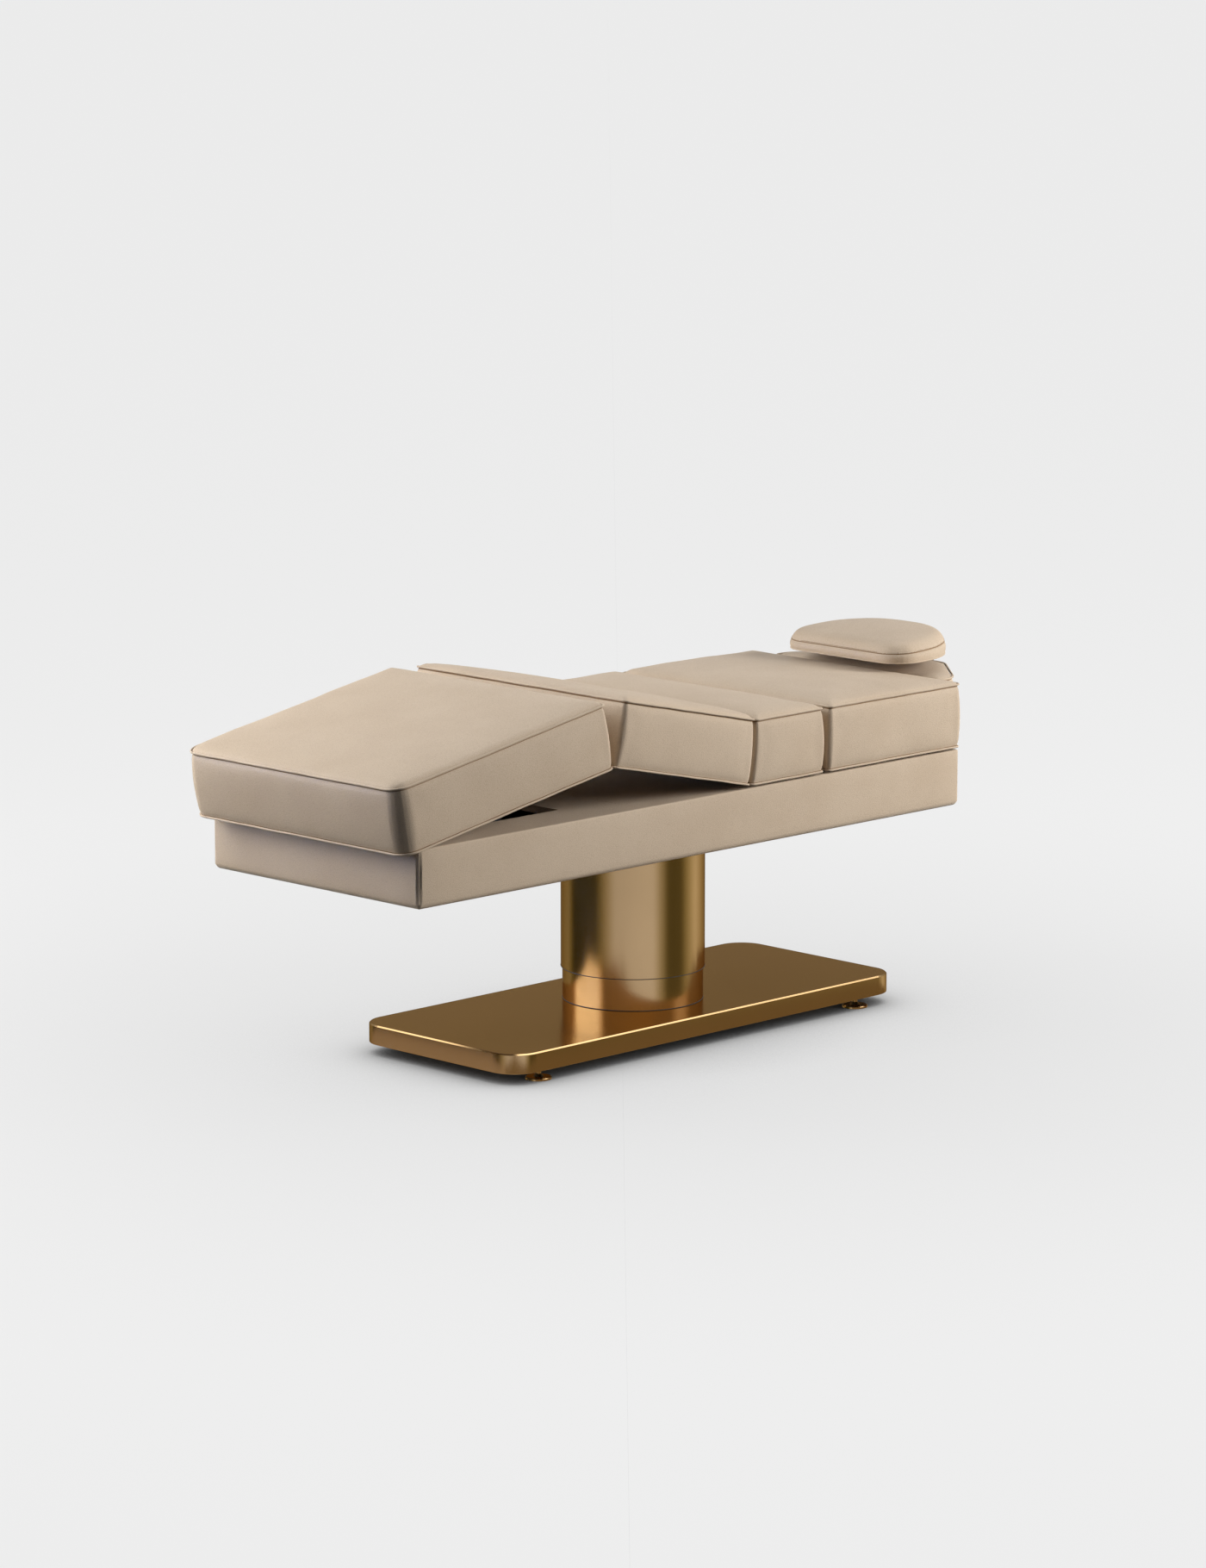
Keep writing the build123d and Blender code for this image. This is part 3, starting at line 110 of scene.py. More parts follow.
# Gap under which two heights are the same, and distance under which a point lies on an outline
tiny = 1e-5
on_line = 3e-4

# Least bend of an edge that takes piping, in radians
seam_bend = 0.3

# Joint places and angles that carry a cushion from the lowered pose to the photographed one
(thigh_hinge, thigh_angle), (knee_rest, knee_angle) = (
    (Vector(joints[name]["pos_m"]), -math.radians(joints[name]["range_deg"][0]))
    for name in ("thigh_tilt", "knee_bend"))
knee_reach = math.hypot(thigh_hinge.x - knee_rest.x, knee_rest.z - thigh_hinge.z)
knee_flat = Vector((thigh_hinge.x - knee_reach, 0, thigh_hinge.z))


# Settings

class BedStageSettings(bpy.types.PropertyGroup):
    lens: FloatProperty(
        name="Lens", description="Focal length of the camera", subtype="DISTANCE_CAMERA", default=137.56)
    camera_place: FloatVectorProperty(
        name="Camera place", description="Where the camera stands", subtype="TRANSLATION", unit="LENGTH",
        size=3, default=(-9.9932 - 0.0886, -10.0160, 3.230))
    camera_pitch: FloatProperty(
        name="Pitch", description="How far the camera looks down", subtype="ANGLE",
        default=math.radians(10.465))
    camera_heading: FloatProperty(
        name="Heading", description="Turn of the camera about the vertical", subtype="ANGLE",
        default=math.radians(-45))
    floor_size: FloatProperty(
        name="Floor size", description="Side of the floor", unit="LENGTH", default=400.0)
    floor_colour: FloatVectorProperty(
        name="Floor colour", description="Colour of floor and backdrop", subtype="COLOR",
        size=3, min=0, max=1, default=(0.84, 0.84, 0.84))
    floor_light: FloatProperty(
        name="Floor light", description="Share of the floor's colour that the lamps shade", min=0, max=1,
        default=0.05)
    wide_shadow: FloatProperty(
        name="Wide shadow", description="Brightness of the floor close under the object", min=0, max=1,
        default=0.84)
    wide_shade: FloatProperty(
        name="Wide shade", description="Darkening of the floor some metres round the object", min=0, max=1,
        default=0.08)
    contact_shadow: FloatProperty(
        name="Contact shadow", description="Depth of the dark line where the object nears the floor", min=0,
        default=0.88)
    ambient_level: FloatProperty(
        name="Ambient", description="Even light from all round", min=0, default=0.135)
    left_power: FloatProperty(
        name="Left lamp", description="Power of the lamp behind the foot end", subtype="POWER", default=138.0)
    right_power: FloatProperty(
        name="Right lamp", description="Power of the lamp at the head end", subtype="POWER", default=690.0)
    foot_power: FloatProperty(
        name="Foot lamp", description="Power of the lamp above the foot end", subtype="POWER", default=63.0)


class BedLeatherSettings(bpy.types.PropertyGroup):
    colour: FloatVectorProperty(
        name="Leather", description="Main colour of the leather", subtype="COLOR",
        size=3, min=0, max=1, default=(0.575, 0.46, 0.342))
    shade: FloatVectorProperty(
        name="Shade", description="Darker patches of the leather", subtype="COLOR",
        size=3, min=0, max=1, default=(0.545, 0.43, 0.315))
    # Painted shade: the fold colour is a darker leather put in the folds beside the piping in place of their shadow.
    fold: FloatVectorProperty(
        name="Fold", description="Leather in the folds beside the piping", subtype="COLOR",
        size=3, min=0, max=1, default=(0.27, 0.175, 0.10))
    thread: FloatVectorProperty(
        name="Thread", description="Colour of the stitching", subtype="COLOR",
        size=3, min=0, max=1, default=(0.62, 0.53, 0.42))
    roughness: FloatProperty(
        name="Roughness", description="Gloss of the leather", min=0, max=1, default=0.42)
    pebble: FloatProperty(
        name="Pebble", description="Width of one pebble of the grain", unit="LENGTH", default=0.0022)


class BedMetalSettings(bpy.types.PropertyGroup):
    gold: FloatVectorProperty(
        name="Gold", description="Colour of the plate and the column", subtype="COLOR",
        size=3, min=0, max=1, default=(0.75, 0.50, 0.25))
    edge: FloatVectorProperty(
        name="Edge", description="Tint of the gold metal where it is seen at a flat angle", subtype="COLOR",
        size=3, min=0, max=1, default=(0.62, 0.46, 0.30))
    roughness: FloatProperty(
        name="Roughness", description="Satin of the gold metal", min=0, max=1, default=0.18)


class BedCushionSettings(bpy.types.PropertyGroup):
    cell: FloatProperty(
        name="Cell", description="Spacing of the cushion mesh", unit="LENGTH", default=0.017)
    crown: FloatProperty(
        name="Crown", description="Rise of the top panel", unit="LENGTH", default=0.022)
    swell: FloatProperty(
        name="Swell", description="Swell of the side panels", unit="LENGTH", default=0.009)
    piping: FloatProperty(
        name="Piping", description="Radius of the piping", unit="LENGTH", default=0.0026)
    pressure: FloatProperty(
        name="Pressure", description="Pressure of the filling in the cloth simulation", default=80.0)
    frames: IntProperty(
        name="Frames", description="Length of the cloth simulation", default=20)


# Helpers for modelling

def clear_selection():
    """Object mode with nothing selected."""
    if bpy.context.object and bpy.context.object.mode != "OBJECT":
        bpy.ops.object.mode_set(mode="OBJECT")
    bpy.ops.object.select_all(action="DESELECT")


def take(piece):
    """Makes a piece the only selected and the active object."""
    clear_selection()
    piece.select_set(True)
    bpy.context.view_layer.objects.active = piece


def edit(piece):
    """Edit mode on one piece."""
    take(piece)
    bpy.ops.object.mode_set(mode="EDIT")


def apply_modifiers(piece):
    """Applies every modifier of a piece."""
    take(piece)
    for modifier in list(piece.modifiers):
        bpy.ops.object.modifier_apply(modifier=modifier.name)


def added(make, **given):
    """The object that an add operator makes."""
    clear_selection()
    make(**given)
    return bpy.context.object


def settle(piece, name):
    """Names the piece and puts its place into its mesh."""
    take(piece)
    piece.name = name
    piece.data.name = name
    bpy.ops.object.transform_apply(location=True, rotation=True, scale=True)
    return piece


def new_piece(name, points, faces):
    """Piece from vertex places and faces."""
    mesh = bpy.data.meshes.new(name)
    mesh.from_pydata(points, [], faces)
    piece = bpy.data.objects.new(name, mesh)
    bpy.context.scene.collection.objects.link(piece)
    return piece


def pick(piece, kind, test):
    """Selects the edges or faces that pass a test, and nothing else. The piece is in edit mode."""
    mesh = bmesh.from_edit_mesh(piece.data)
    bpy.ops.mesh.select_mode(type=kind)
    bpy.ops.mesh.select_all(action="DESELECT")
    for element in mesh.edges if kind == "EDGE" else mesh.faces:
        if test(element):
            element.select_set(True)
    bmesh.update_edit_mesh(piece.data)


def slice_at(piece, axis, places):
    """Cuts edge loops across the whole piece at the places along an axis."""
    edit(piece)
    bpy.ops.mesh.select_mode(type="VERT")
    normal = [0, 0, 0]
    normal[axis] = 1
    for place in places:
        point = [0, 0, 0]
        point[axis] = place
        bpy.ops.mesh.select_all(action="SELECT")
        bpy.ops.mesh.bisect(plane_co=point, plane_no=normal)
    bpy.ops.object.mode_set(mode="OBJECT")


def even_places(low, high, step):
    """Places between two ends, about a step apart."""
    count = max(2, round((high - low) / step))
    return [low + (high - low) * k / count for k in range(1, count)]


def vertices_of(piece, what="co"):
    """Places or normals of the vertices as an array."""
    flat = np.empty(len(piece.data.vertices) * 3)
    piece.data.vertices.foreach_get(what, flat)
    return flat.reshape(-1, 3)


def set_points(piece, points):
    """Writes vertex places back."""
    piece.data.vertices.foreach_set("co", points.ravel())
    piece.data.update()


def smooth(piece, degrees=40):
    """Smooth shading, with edges past an angle left sharp."""
    take(piece)
    bpy.ops.object.shade_smooth_by_angle(angle=math.radians(degrees))


def hinge_turn(place, angle):
    """Matrix that turns about a hinge across the bed."""
    move = Matrix.Translation(place)
    return move @ Matrix.Rotation(angle, 4, "Y") @ move.inverted()


def photographed(section):
    """Matrix from the lowered pose to the photographed one for a section."""
    thigh = hinge_turn(thigh_hinge, thigh_angle)
    return {"thigh": thigh, "leg": thigh @ hinge_turn(knee_flat, -knee_angle)}.get(section, Matrix())


# Shader helpers

def new_group(name, inputs, outputs):
    """Empty shader node group that takes a place and numbers, and gives numbers."""
    group = bpy.data.node_groups.new(name, "ShaderNodeTree")
    group.interface.new_socket(name="Vector", in_out="INPUT", socket_type="NodeSocketVector")
    for label, value in inputs.items():
        socket = group.interface.new_socket(name=label, in_out="INPUT", socket_type="NodeSocketFloat")
        socket.default_value = value
    for label in outputs:
        group.interface.new_socket(name=label, in_out="OUTPUT", socket_type="NodeSocketFloat")
    return group, group.nodes.new("NodeGroupInput").outputs, group.nodes.new("NodeGroupOutput")


def feed(tree, node, inputs):
    """Gives a node its input values or links."""
    for key, value in dict(inputs).items():
        if isinstance(value, bpy.types.NodeSocket):
            tree.links.new(value, node.inputs[key])
        else:
            node.inputs[key].default_value = value


def add_node(tree, kind, inputs=(), **settings):
    """Node with its settings and its input values or links."""
    node = tree.nodes.new(kind)
    for key, value in settings.items():
        setattr(node, key, value)
    feed(tree, node, inputs)
    return node


def maths(tree, operation, first, second=0.0, third=0.0):
    """Output of a math node."""
    return add_node(tree, "ShaderNodeMath", {0: first, 1: second, 2: third}, operation=operation).outputs[0]


def spread_out(tree, value, low, high, to_low=0.0, to_high=1.0, **settings):
    """Output of a map range node: a value from one range, moved to another."""
    ends = {"Value": value, "From Min": low, "From Max": high, "To Min": to_low, "To Max": to_high}
    return add_node(tree, "ShaderNodeMapRange", ends, **settings).outputs["Result"]


def blend_colours(tree, factor, first, second, **settings):
    """Output of a colour mix. The first colour may be a link."""
    if not isinstance(first, bpy.types.NodeSocket):
        first = (*first, 1)
    inputs = {"Factor": factor, "A": first, "B": (*second, 1)}
    return add_node(tree, "ShaderNodeMix", inputs, data_type="RGBA", **settings).outputs["Result"]


def bumped(tree, height, strength, distance):
    """Normal, bent by a height."""
    inputs = {"Height": height, "Strength": strength, "Distance": distance}
    return add_node(tree, "ShaderNodeBump", inputs).outputs["Normal"]


def rays_that_see(tree):
    """1 for the rays that see the backdrop: from the camera, in reflections and through glass."""
    path = tree.nodes.new("ShaderNodeLightPath")
    seen = maths(tree, "MAXIMUM", path.outputs["Is Camera Ray"], path.outputs["Is Glossy Ray"])
    return maths(tree, "MAXIMUM", seen, path.outputs["Is Transmission Ray"])


@functools.cache
def leather_group():
    """Pebbled grain of fine leather with its creases, and slow patches of tone."""
    group, given, leave = new_group(
        "leather_grain", {"Pebbles": 450.0, "Patches": 7.0}, ("Height", "Patch", "Pore"))
    place = given["Vector"]
    bend = add_node(group, "ShaderNodeTexNoise", {"Vector": place, "Scale": 160.0, "Detail": 2.0}).outputs["Color"]
    shift = add_node(group, "ShaderNodeVectorMath", {0: bend, "Scale": 0.0016}, operation="SCALE").outputs[0]
    bent = add_node(group, "ShaderNodeVectorMath", {0: place, 1: shift}, operation="ADD").outputs[0]
    finer = maths(group, "MULTIPLY", given["Pebbles"], 2.3)
    pebbles, creases = (
        add_node(group, "ShaderNodeTexVoronoi", {"Vector": bent, "Scale": scale}).outputs["Distance"]
        for scale in (given["Pebbles"], finer))
    depth = maths(group, "ADD", maths(group, "MULTIPLY", pebbles, 0.7), maths(group, "MULTIPLY", creases, 0.3))
    slow = add_node(group, "ShaderNodeTexNoise",
                    {"Vector": place, "Scale": given["Patches"], "Detail": 3.0, "Roughness": 0.55})
    feed(group, leave, {
        "Height": maths(group, "SUBTRACT", 1.0, depth),
        "Patch": spread_out(group, slow.outputs["Fac"], 0.35, 0.65),
        "Pore": spread_out(group, depth, 0.35, 0.75)})
    return group


@functools.cache
def speckle_group():
    """Fine satin speckle and slow smudges for metal, plastic and nylon."""
    group, given, leave = new_group(
        "satin_speckle", {"Fineness": 900.0, "Base": 0.3, "Spread": 0.06}, ("Roughness", "Height", "Tone"))
    grain, smudge = (
        add_node(group, "ShaderNodeTexNoise",
                 {"Vector": given["Vector"], "Scale": scale, "Detail": detail}).outputs["Fac"]
        for scale, detail in ((given["Fineness"], 2.0), (5.0, 3.0)))
    centred = maths(group, "SUBTRACT", maths(group, "ADD", grain, smudge), 1.0)
    spread = maths(group, "MULTIPLY", centred, given["Spread"])
    feed(group, leave, {
        "Roughness": maths(group, "ADD", given["Base"], spread),
        "Height": grain,
        "Tone": spread_out(group, smudge, 0.3, 0.7)})
    return group


def new_material(name):
    """Material with its Principled shader."""
    material = bpy.data.materials.new(name)
    material.use_nodes = True
    tree = material.node_tree
    shader = tree.nodes["Principled BSDF"]
    place = tree.nodes.new("ShaderNodeTexCoord")
    return material, tree, shader, place.outputs["Object"]


def leather(name, colour, shade, roughness, pebble, depth):
    """Leather with pebbled grain and slow tone changes."""
    material, tree, shader, place = new_material(name)
    grain = add_node(tree, "ShaderNodeGroup", {"Vector": place, "Pebbles": 1.0 / pebble},
                     node_tree=leather_group()).outputs
    tone = blend_colours(tree, grain["Patch"], colour, shade)
    pore_share = maths(tree, "MULTIPLY", grain["Pore"], 0.22)
    feed(tree, shader, {
        "Base Color": blend_colours(tree, pore_share, tone, (0.45, 0.38, 0.30), blend_type="MULTIPLY"),
        "Roughness": maths(tree, "MULTIPLY_ADD", grain["Pore"], 0.14, roughness),
        "Normal": bumped(tree, grain["Height"], depth, 0.0006),
        "Specular IOR Level": 0.42,
        "Sheen Weight": 0.04,
        "Sheen Roughness": 0.5})
    return material


def satin(name, colour, tint, metallic, roughness, fineness, spread, depth, edge=(1, 1, 1)):
    """Satin metal, plastic or nylon with a fine speckle."""
    material, tree, shader, place = new_material(name)
    speckle = add_node(
        tree, "ShaderNodeGroup", {"Vector": place, "Fineness": fineness, "Base": roughness, "Spread": spread},
        node_tree=speckle_group()).outputs
    feed(tree, shader, {
        "Base Color": blend_colours(tree, speckle["Tone"], colour, tint),
        "Roughness": speckle["Roughness"],
        "Normal": bumped(tree, speckle["Height"], depth, 0.0003),
        "Metallic": metallic,
        "Specular Tint": (*edge, 1)})
    return material


def plywood():
    """Birch plywood with long grain."""
    material, tree, shader, place = new_material("birch_plywood")
    stretch = add_node(tree, "ShaderNodeMapping", {"Vector": place, "Scale": (3.0, 40.0, 220.0)})
    grain = add_node(tree, "ShaderNodeTexNoise", {"Vector": stretch.outputs[0], "Scale": 1.0, "Detail": 5.0})
    band = spread_out(tree, grain.outputs["Fac"], 0.3, 0.7)
    feed(tree, shader, {
        "Base Color": blend_colours(tree, band, (0.55, 0.38, 0.22), (0.70, 0.53, 0.34)),
        "Roughness": 0.6,
        "Normal": bumped(tree, grain.outputs["Fac"], 0.2, 0.0004)})
    return material


@functools.cache
def finish_named(name):
    """The material of a record slot, or of the painted shade in folds, of piping or of thread, made at its first use.
    """
    look = bpy.context.scene.bed_leather
    metal = bpy.context.scene.bed_metal
    # Name, colour, darker shade, roughness, pebble width, depth of the grain
    plain = (look.colour, look.shade, look.roughness)
    leathers = {
        "leather": ("greige_leather", *plain, look.pebble, 0.75),
        "leather_panel": ("greige_leather_panel", *plain, look.pebble, 0.7),
        "piping": ("greige_leather_piping", *plain, look.pebble / 2, 0.3),
        # The fold leather is painted shade: a darker colour for the shadow in the folds beside the seams.
        "fold": ("greige_leather_fold_painted_shade", look.fold, look.fold, 0.8, look.pebble, 0.4),
    }
    # Name, colour, tint of the smudges, metallic, roughness, fineness, spread of the roughness, depth, edge tint
    satins = {
        "thread": ("stitching_thread", look.thread, look.shade, 0.0, 0.6, 3000.0, 0.1, 0.4),
        "gold_metal": ("satin_gold_metal", metal.gold, [0.92 * part for part in metal.gold], 1.0,
                       metal.roughness, 1100.0, 0.10, 0.10, metal.edge),
        "black_steel": ("black_powder_coat", (0.020, 0.020, 0.022), (0.028, 0.028, 0.030), 0.0, 0.5, 2600.0,
                        0.1, 0.5),
        "zinc_steel": ("zinc_plated_steel", (0.58, 0.59, 0.60), (0.50, 0.51, 0.53), 1.0, 0.38, 700.0, 0.15, 0.15),
        "bright_rod": ("polished_rod", (0.76, 0.77, 0.79), (0.72, 0.73, 0.75), 1.0, 0.14, 1500.0, 0.05, 0.03),
        "nylon": ("cream_nylon", (0.72, 0.70, 0.64), (0.68, 0.66, 0.60), 0.0, 0.42, 900.0, 0.1, 0.1),
        "black_plastic": ("black_plastic", (0.022, 0.022, 0.023), (0.030, 0.030, 0.031), 0.0, 0.45, 1800.0,
                          0.12, 0.35),
    }
    if name in leathers:
        return leather(*leathers[name])
    if name in satins:
        return satin(*satins[name])
    if name == "plywood":
        return plywood()
    raise RuntimeError("no finish named " + name)


def dress(piece, name):
    """Gives a piece one finish."""
    piece.data.materials.clear()
    piece.data.materials.append(finish_named(name))


# Helpers for upholstery

def inflate(piece, held, cap, least):
    """Swells the panels with cloth under pressure, up to a cap and at least by a given amount."""
    before = vertices_of(piece)
    normals = vertices_of(piece, "normal")
    outward = np.zeros(len(before))
    outward = np.maximum(np.sum((simulated(piece, held) - before) * normals, axis=1), 0.0)
    limit = np.maximum(cap, 1e-9)
    outward = np.maximum(limit * np.tanh(outward / limit), least)
    outward[held] = 0.0
    set_points(piece, before + normals * outward[:, None])


def simulated(piece, held):
    """Places of the points after the cloth simulation."""
    look = bpy.context.scene.bed_cushions
    group = piece.vertex_groups.new(name="held")
    group.add([int(i) for i in np.nonzero(held)[0]], 1.0, "REPLACE")
    take(piece)
    swelling = piece.modifiers.new("Swelling", "CLOTH")
    cloth = swelling.settings
    cloth.quality = 6
    cloth.mass = 0.3
    cloth.tension_stiffness = 12.0
    cloth.compression_stiffness = 12.0
    cloth.shear_stiffness = 5.0
    cloth.bending_stiffness = 0.6
    cloth.use_pressure = True
    cloth.uniform_pressure_force = look.pressure
    cloth.vertex_group_mass = "held"
    cloth.effector_weights.gravity = 0.0
    swelling.collision_settings.use_collision = False
    for step in range(1, look.frames + 1):
        bpy.context.scene.frame_set(step)
    apply_modifiers(piece)
    bpy.context.scene.frame_set(1)
    piece.vertex_groups.clear()
    return vertices_of(piece)


def side_swell(level, amount):
    """Least swell of a border between its two seams."""
    return amount * np.clip(np.sin(np.pi * np.clip(level, 0, 1)), 0, 1) ** 0.7


def rounded(gap, width):
    """Quarter round that starts upright at an outline and is level a width inside it, from 0 to 1."""
    return np.sqrt(1 - (1 - np.clip(gap / width, 0, 1)) ** 2)


def domed(gap, width):
    """Low dome that is level a width inside an outline, from 0 to 1."""
    return 1 - (1 - np.clip(gap / width, 0, 1)) ** 2


def crown_rise(gap, amount):
    """Least rise of a top panel: steep at its seam, then a low dome."""
    return amount * (roll_share * rounded(gap, roll_width) + (1 - roll_share) * domed(gap, dome_width))


def unevenness(points, size, drift):
    """Slow noise at each point, with lumps of about a size."""
    return np.array([noise.noise(Vector(point) / size + Vector(drift)) for point in points])


def waver(piece, size, amount, seed):
    """Slight rise and fall of the whole piece, seams too, as hand work has."""
    points = vertices_of(piece)
    points[:, 2] += unevenness(points, size, (-seed, seed, seed / 3)) * amount
    set_points(piece, points)


def soften(piece, size, amount, seed, seams):
    """Slow unevenness of stuffed leather, away from the seams."""
    points = vertices_of(piece)
    wave = np.where(seams, 0, unevenness(points, size, (seed, -seed, seed / 2)) * amount)
    set_points(piece, points + vertices_of(piece, "normal") * wave[:, None])


def piping_along(piece, name, seam, radius, outward):
    """Piping along the edges between the seam vertices."""
    edit(piece)
    pick(piece, "EDGE", lambda edge: all(seam[vertex.index] for vertex in edge.verts)
         and edge.calc_face_angle(0) > seam_bend)
    bpy.ops.mesh.duplicate()
    bpy.ops.mesh.separate(type="SELECTED")
    bpy.ops.object.mode_set(mode="OBJECT")
    cord = next(obj for obj in bpy.context.selected_objects if obj != piece)
    take(cord)
    set_points(cord, outward(vertices_of(cord)))
    bpy.ops.object.convert(target="CURVE")
    cord = bpy.context.object
    cord.data.bevel_depth = radius
    cord.data.bevel_resolution = 3
    cord.data.use_fill_caps = True
    bpy.ops.object.convert(target="MESH")
    cord = bpy.context.object
    cord.name = name
    cord.data.name = name
    smooth(cord)
    dress(cord, "piping")
    return cord


def pushed_out(line, amount, rise):
    """Mover that pushes points on an outline outwards and up."""
    def move(points):
        way = distance_to_outline(points, line)[1]
        shifted = points.copy()
        shifted[:, :2] += way * amount
        shifted[:, 2] += rise
        return shifted
    return move


def finish_cushion(piece, shaded):
    """Gives a cushion its leather, darker in the folds beside its seams as painted shade, and one rounding
    subdivision.
    """
    dress(piece, "leather")
    piece.data.materials.append(finish_named("fold"))
    for face in piece.data.polygons:
        if abs(face.normal.z) < 0.8 and all(shaded[number] for number in face.vertices):
            face.material_index = 1
    rounding = piece.modifiers.new("Rounding", "SUBSURF")
    rounding.levels = 1
    rounding.render_levels = 1
    apply_modifiers(piece)
    smooth(piece, degrees=60)


def half_moon():
    """Half-moon outline of the head pillow, counter-clockwise from the front."""
    front = pillow_front_x + middle_x
    corner = 0.34 * pillow_half
    power = 2 / 2.35
    steps = 40
    corner_steps = 8
    line = []
    for step in range(steps + 1):
        turn = math.pi * (step / steps - 0.5)
        x = front + corner + (pillow_depth - corner) * abs(math.cos(turn)) ** power
        line.append((x, pillow_half * math.copysign(abs(math.sin(turn)) ** power, turn)))
    turns = [math.pi / 2 * step / corner_steps for step in range(1, corner_steps + 1)]
    arc = [(front + corner - corner * math.sin(turn), pillow_half - corner + corner * math.cos(turn))
           for turn in turns]
    return line + arc + [(x, -y) for x, y in reversed(arc)]


def pillow_band(along):
    """Height of the pillow's stitched seam over its underside, from front to back."""
    return pillow_seam + pillow_seam_rise * np.clip(along / pillow_depth, 0, 1)


def pillow_rise(gap, along):
    """Rise of the pillow's top over its seam, from the distance to the outline."""
    more = 0.003 * np.clip(along / pillow_depth, 0, 1)
    return rounded(gap, 0.036) * (0.022 + more) + domed(gap, 0.17) * (0.009 + more)


def stitch_row(name, places, length, radius):
    """Row of thread stitches: one modelled stitch, copied to each place and heading."""
    first = added(bpy.ops.mesh.primitive_cylinder_add, vertices=6, radius=radius, depth=length)
    first.rotation_euler = (0, math.radians(90), 0)
    bpy.ops.object.transform_apply(rotation=True)
    bpy.ops.object.mode_set(mode="EDIT")
    pick(first, "FACE", lambda face: abs(face.normal.x) > 0.9)
    bpy.ops.mesh.inset(thickness=radius / 2)
    bpy.ops.transform.resize(value=(1.12, 1, 1), center_override=(0, 0, 0))
    bpy.ops.object.mode_set(mode="OBJECT")
    clear_selection()
    for place, heading in places:
        copy = first.copy()
        copy.data = first.data.copy()
        copy.matrix_world = Matrix.Translation(place) @ heading.to_track_quat("X", "Z").to_matrix().to_4x4()
        bpy.context.scene.collection.objects.link(copy)
        copy.select_set(True)
    bpy.data.objects.remove(first)
    bpy.context.view_layer.objects.active = copy
    bpy.ops.object.join()
    row = settle(bpy.context.object, name)
    smooth(row, degrees=50)
    dress(row, "thread")
    return row


def along_line(line, pitch):
    """Places a pitch apart along a closed outline, with the outward way and the heading there."""
    start = np.array(line)
    sides = np.roll(start, -1, axis=0) - start
    lengths = np.hypot(*sides.T)
    ends = np.cumsum(lengths)
    count = round(ends[-1] / pitch)
    reach = ends[-1] * np.arange(count) / count
    side = np.searchsorted(ends, reach, side="right")
    heading = sides[side] / lengths[side, None]
    place = start[side] + (reach - ends[side] + lengths[side])[:, None] * heading
    return zip(place, np.stack([heading[:, 1], -heading[:, 0]], axis=1), heading)


def upholster(piece, name, line, top_line, under, top, crown, swell, shares, seed, body, matrix=Matrix()):
    """Stuffs a closed form between its two seams, pipes them, gives it its leather and puts it on its body."""
    points = vertices_of(piece)
    level = (points[:, 2] - under) / (top - under)
    at_top = points[:, 2] > top - tiny
    at_bottom = points[:, 2] < under + tiny
    gap, way = distance_to_outline(points, line)
    top_seam = at_top & (gap < on_line)
    bottom_seam = at_bottom & (gap < on_line)
    # Rows a fold's width from the seams: drawn in below, and the faces out to them take the painted shade
    beside = (np.abs(points[:, 2] - top + fold) < tiny) | (np.abs(points[:, 2] - under - fold) < tiny)
    held = top_seam | at_bottom
    to_foot, to_head = np.maximum(-way[:, 0], 0), np.maximum(way[:, 0], 0)
    swell = swell * (1 - (1 - shares[0]) * to_foot - (1 - shares[1]) * to_head)
    least = np.where(at_top, crown_rise(gap, least_crown * crown), side_swell(level, least_swell * swell))
    ends, top_ends = ((min(x for x, y in seam), max(x for x, y in seam)) for seam in (line, top_line))
    points[:, 0] += np.interp(points[:, 0], ends, np.subtract(top_ends, ends)) * level
    set_points(piece, points)
    inflate(piece, held, np.where(at_top, crown, swell), least)
    soften(piece, size=0.11, amount=0.0014, seed=seed, seams=held)
    waver(piece, size=0.07, amount=0.0009, seed=seed)
    points = vertices_of(piece)
    points[:, :2] -= np.where(beside[:, None], way * fold_depth, 0)
    set_points(piece, points)
    radius = bpy.context.scene.bed_cushions.piping
    reach = 0.8 * radius
    cords = [
        piping_along(piece, name + "_top_piping", top_seam, radius, pushed_out(top_line, reach, 0.0)),
        piping_along(piece, name + "_bottom_piping", bottom_seam, radius, pushed_out(line, reach, reach))]
    # Painted shade: the faces between each seam and its fold row get the darker fold leather.
    finish_cushion(piece, top_seam | bottom_seam | beside)
    for part in [piece] + cords:
        part.data.transform(matrix)
        part.data.update()
        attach(part, body)


def boxed_cushion(section, seed):
    """Boxed cushion: crowned top and swelling borders between two piped seams."""
    look = bpy.context.scene.bed_cushions
    ends, half, corners, shares, crown_left, body = cushions[section]
    under, top = cushion_under, cushion_under + cushion_height
    line, top_line = (
        rounded_outline([(low + middle_x, half, corners[0]), (high + middle_x, half, corners[1])])
        for low, high in (ends[:2], ends[2:]))
    name = section + "_upholstery"
    piece = outline_shell(name, line, under, top, look.cell)
    rows = (0.006, 0.015, 0.028)
    foot, head = ends[0] + middle_x, ends[1] + middle_x
    slice_at(piece, 0, [foot + row for row in rows] + [head - row for row in rows])
    slice_at(piece, 1, [row - half for row in rows] + [half - row for row in rows])
    slice_at(piece, 2, border_rows(under, top))
    from_head = head - vertices_of(piece)[:, 0]
    low_until, full_from = 0.075, 0.20
    crown = look.crown * np.interp(from_head, [low_until, full_from], [crown_left, 1.0])
    upholster(piece, name, line, top_line, under, top, crown, look.swell, shares, seed, body,
              photographed(section))
    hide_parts(section + "_cushion")


def border_rows(under, top):
    """Heights of the rows of cells up a border, closer beside its seams."""
    near = (fold, 0.012, 0.022)
    rows = [under + row for row in near] + [top - row for row in near]
    return sorted(rows + even_places(under + near[-1], top - near[-1], 0.017))


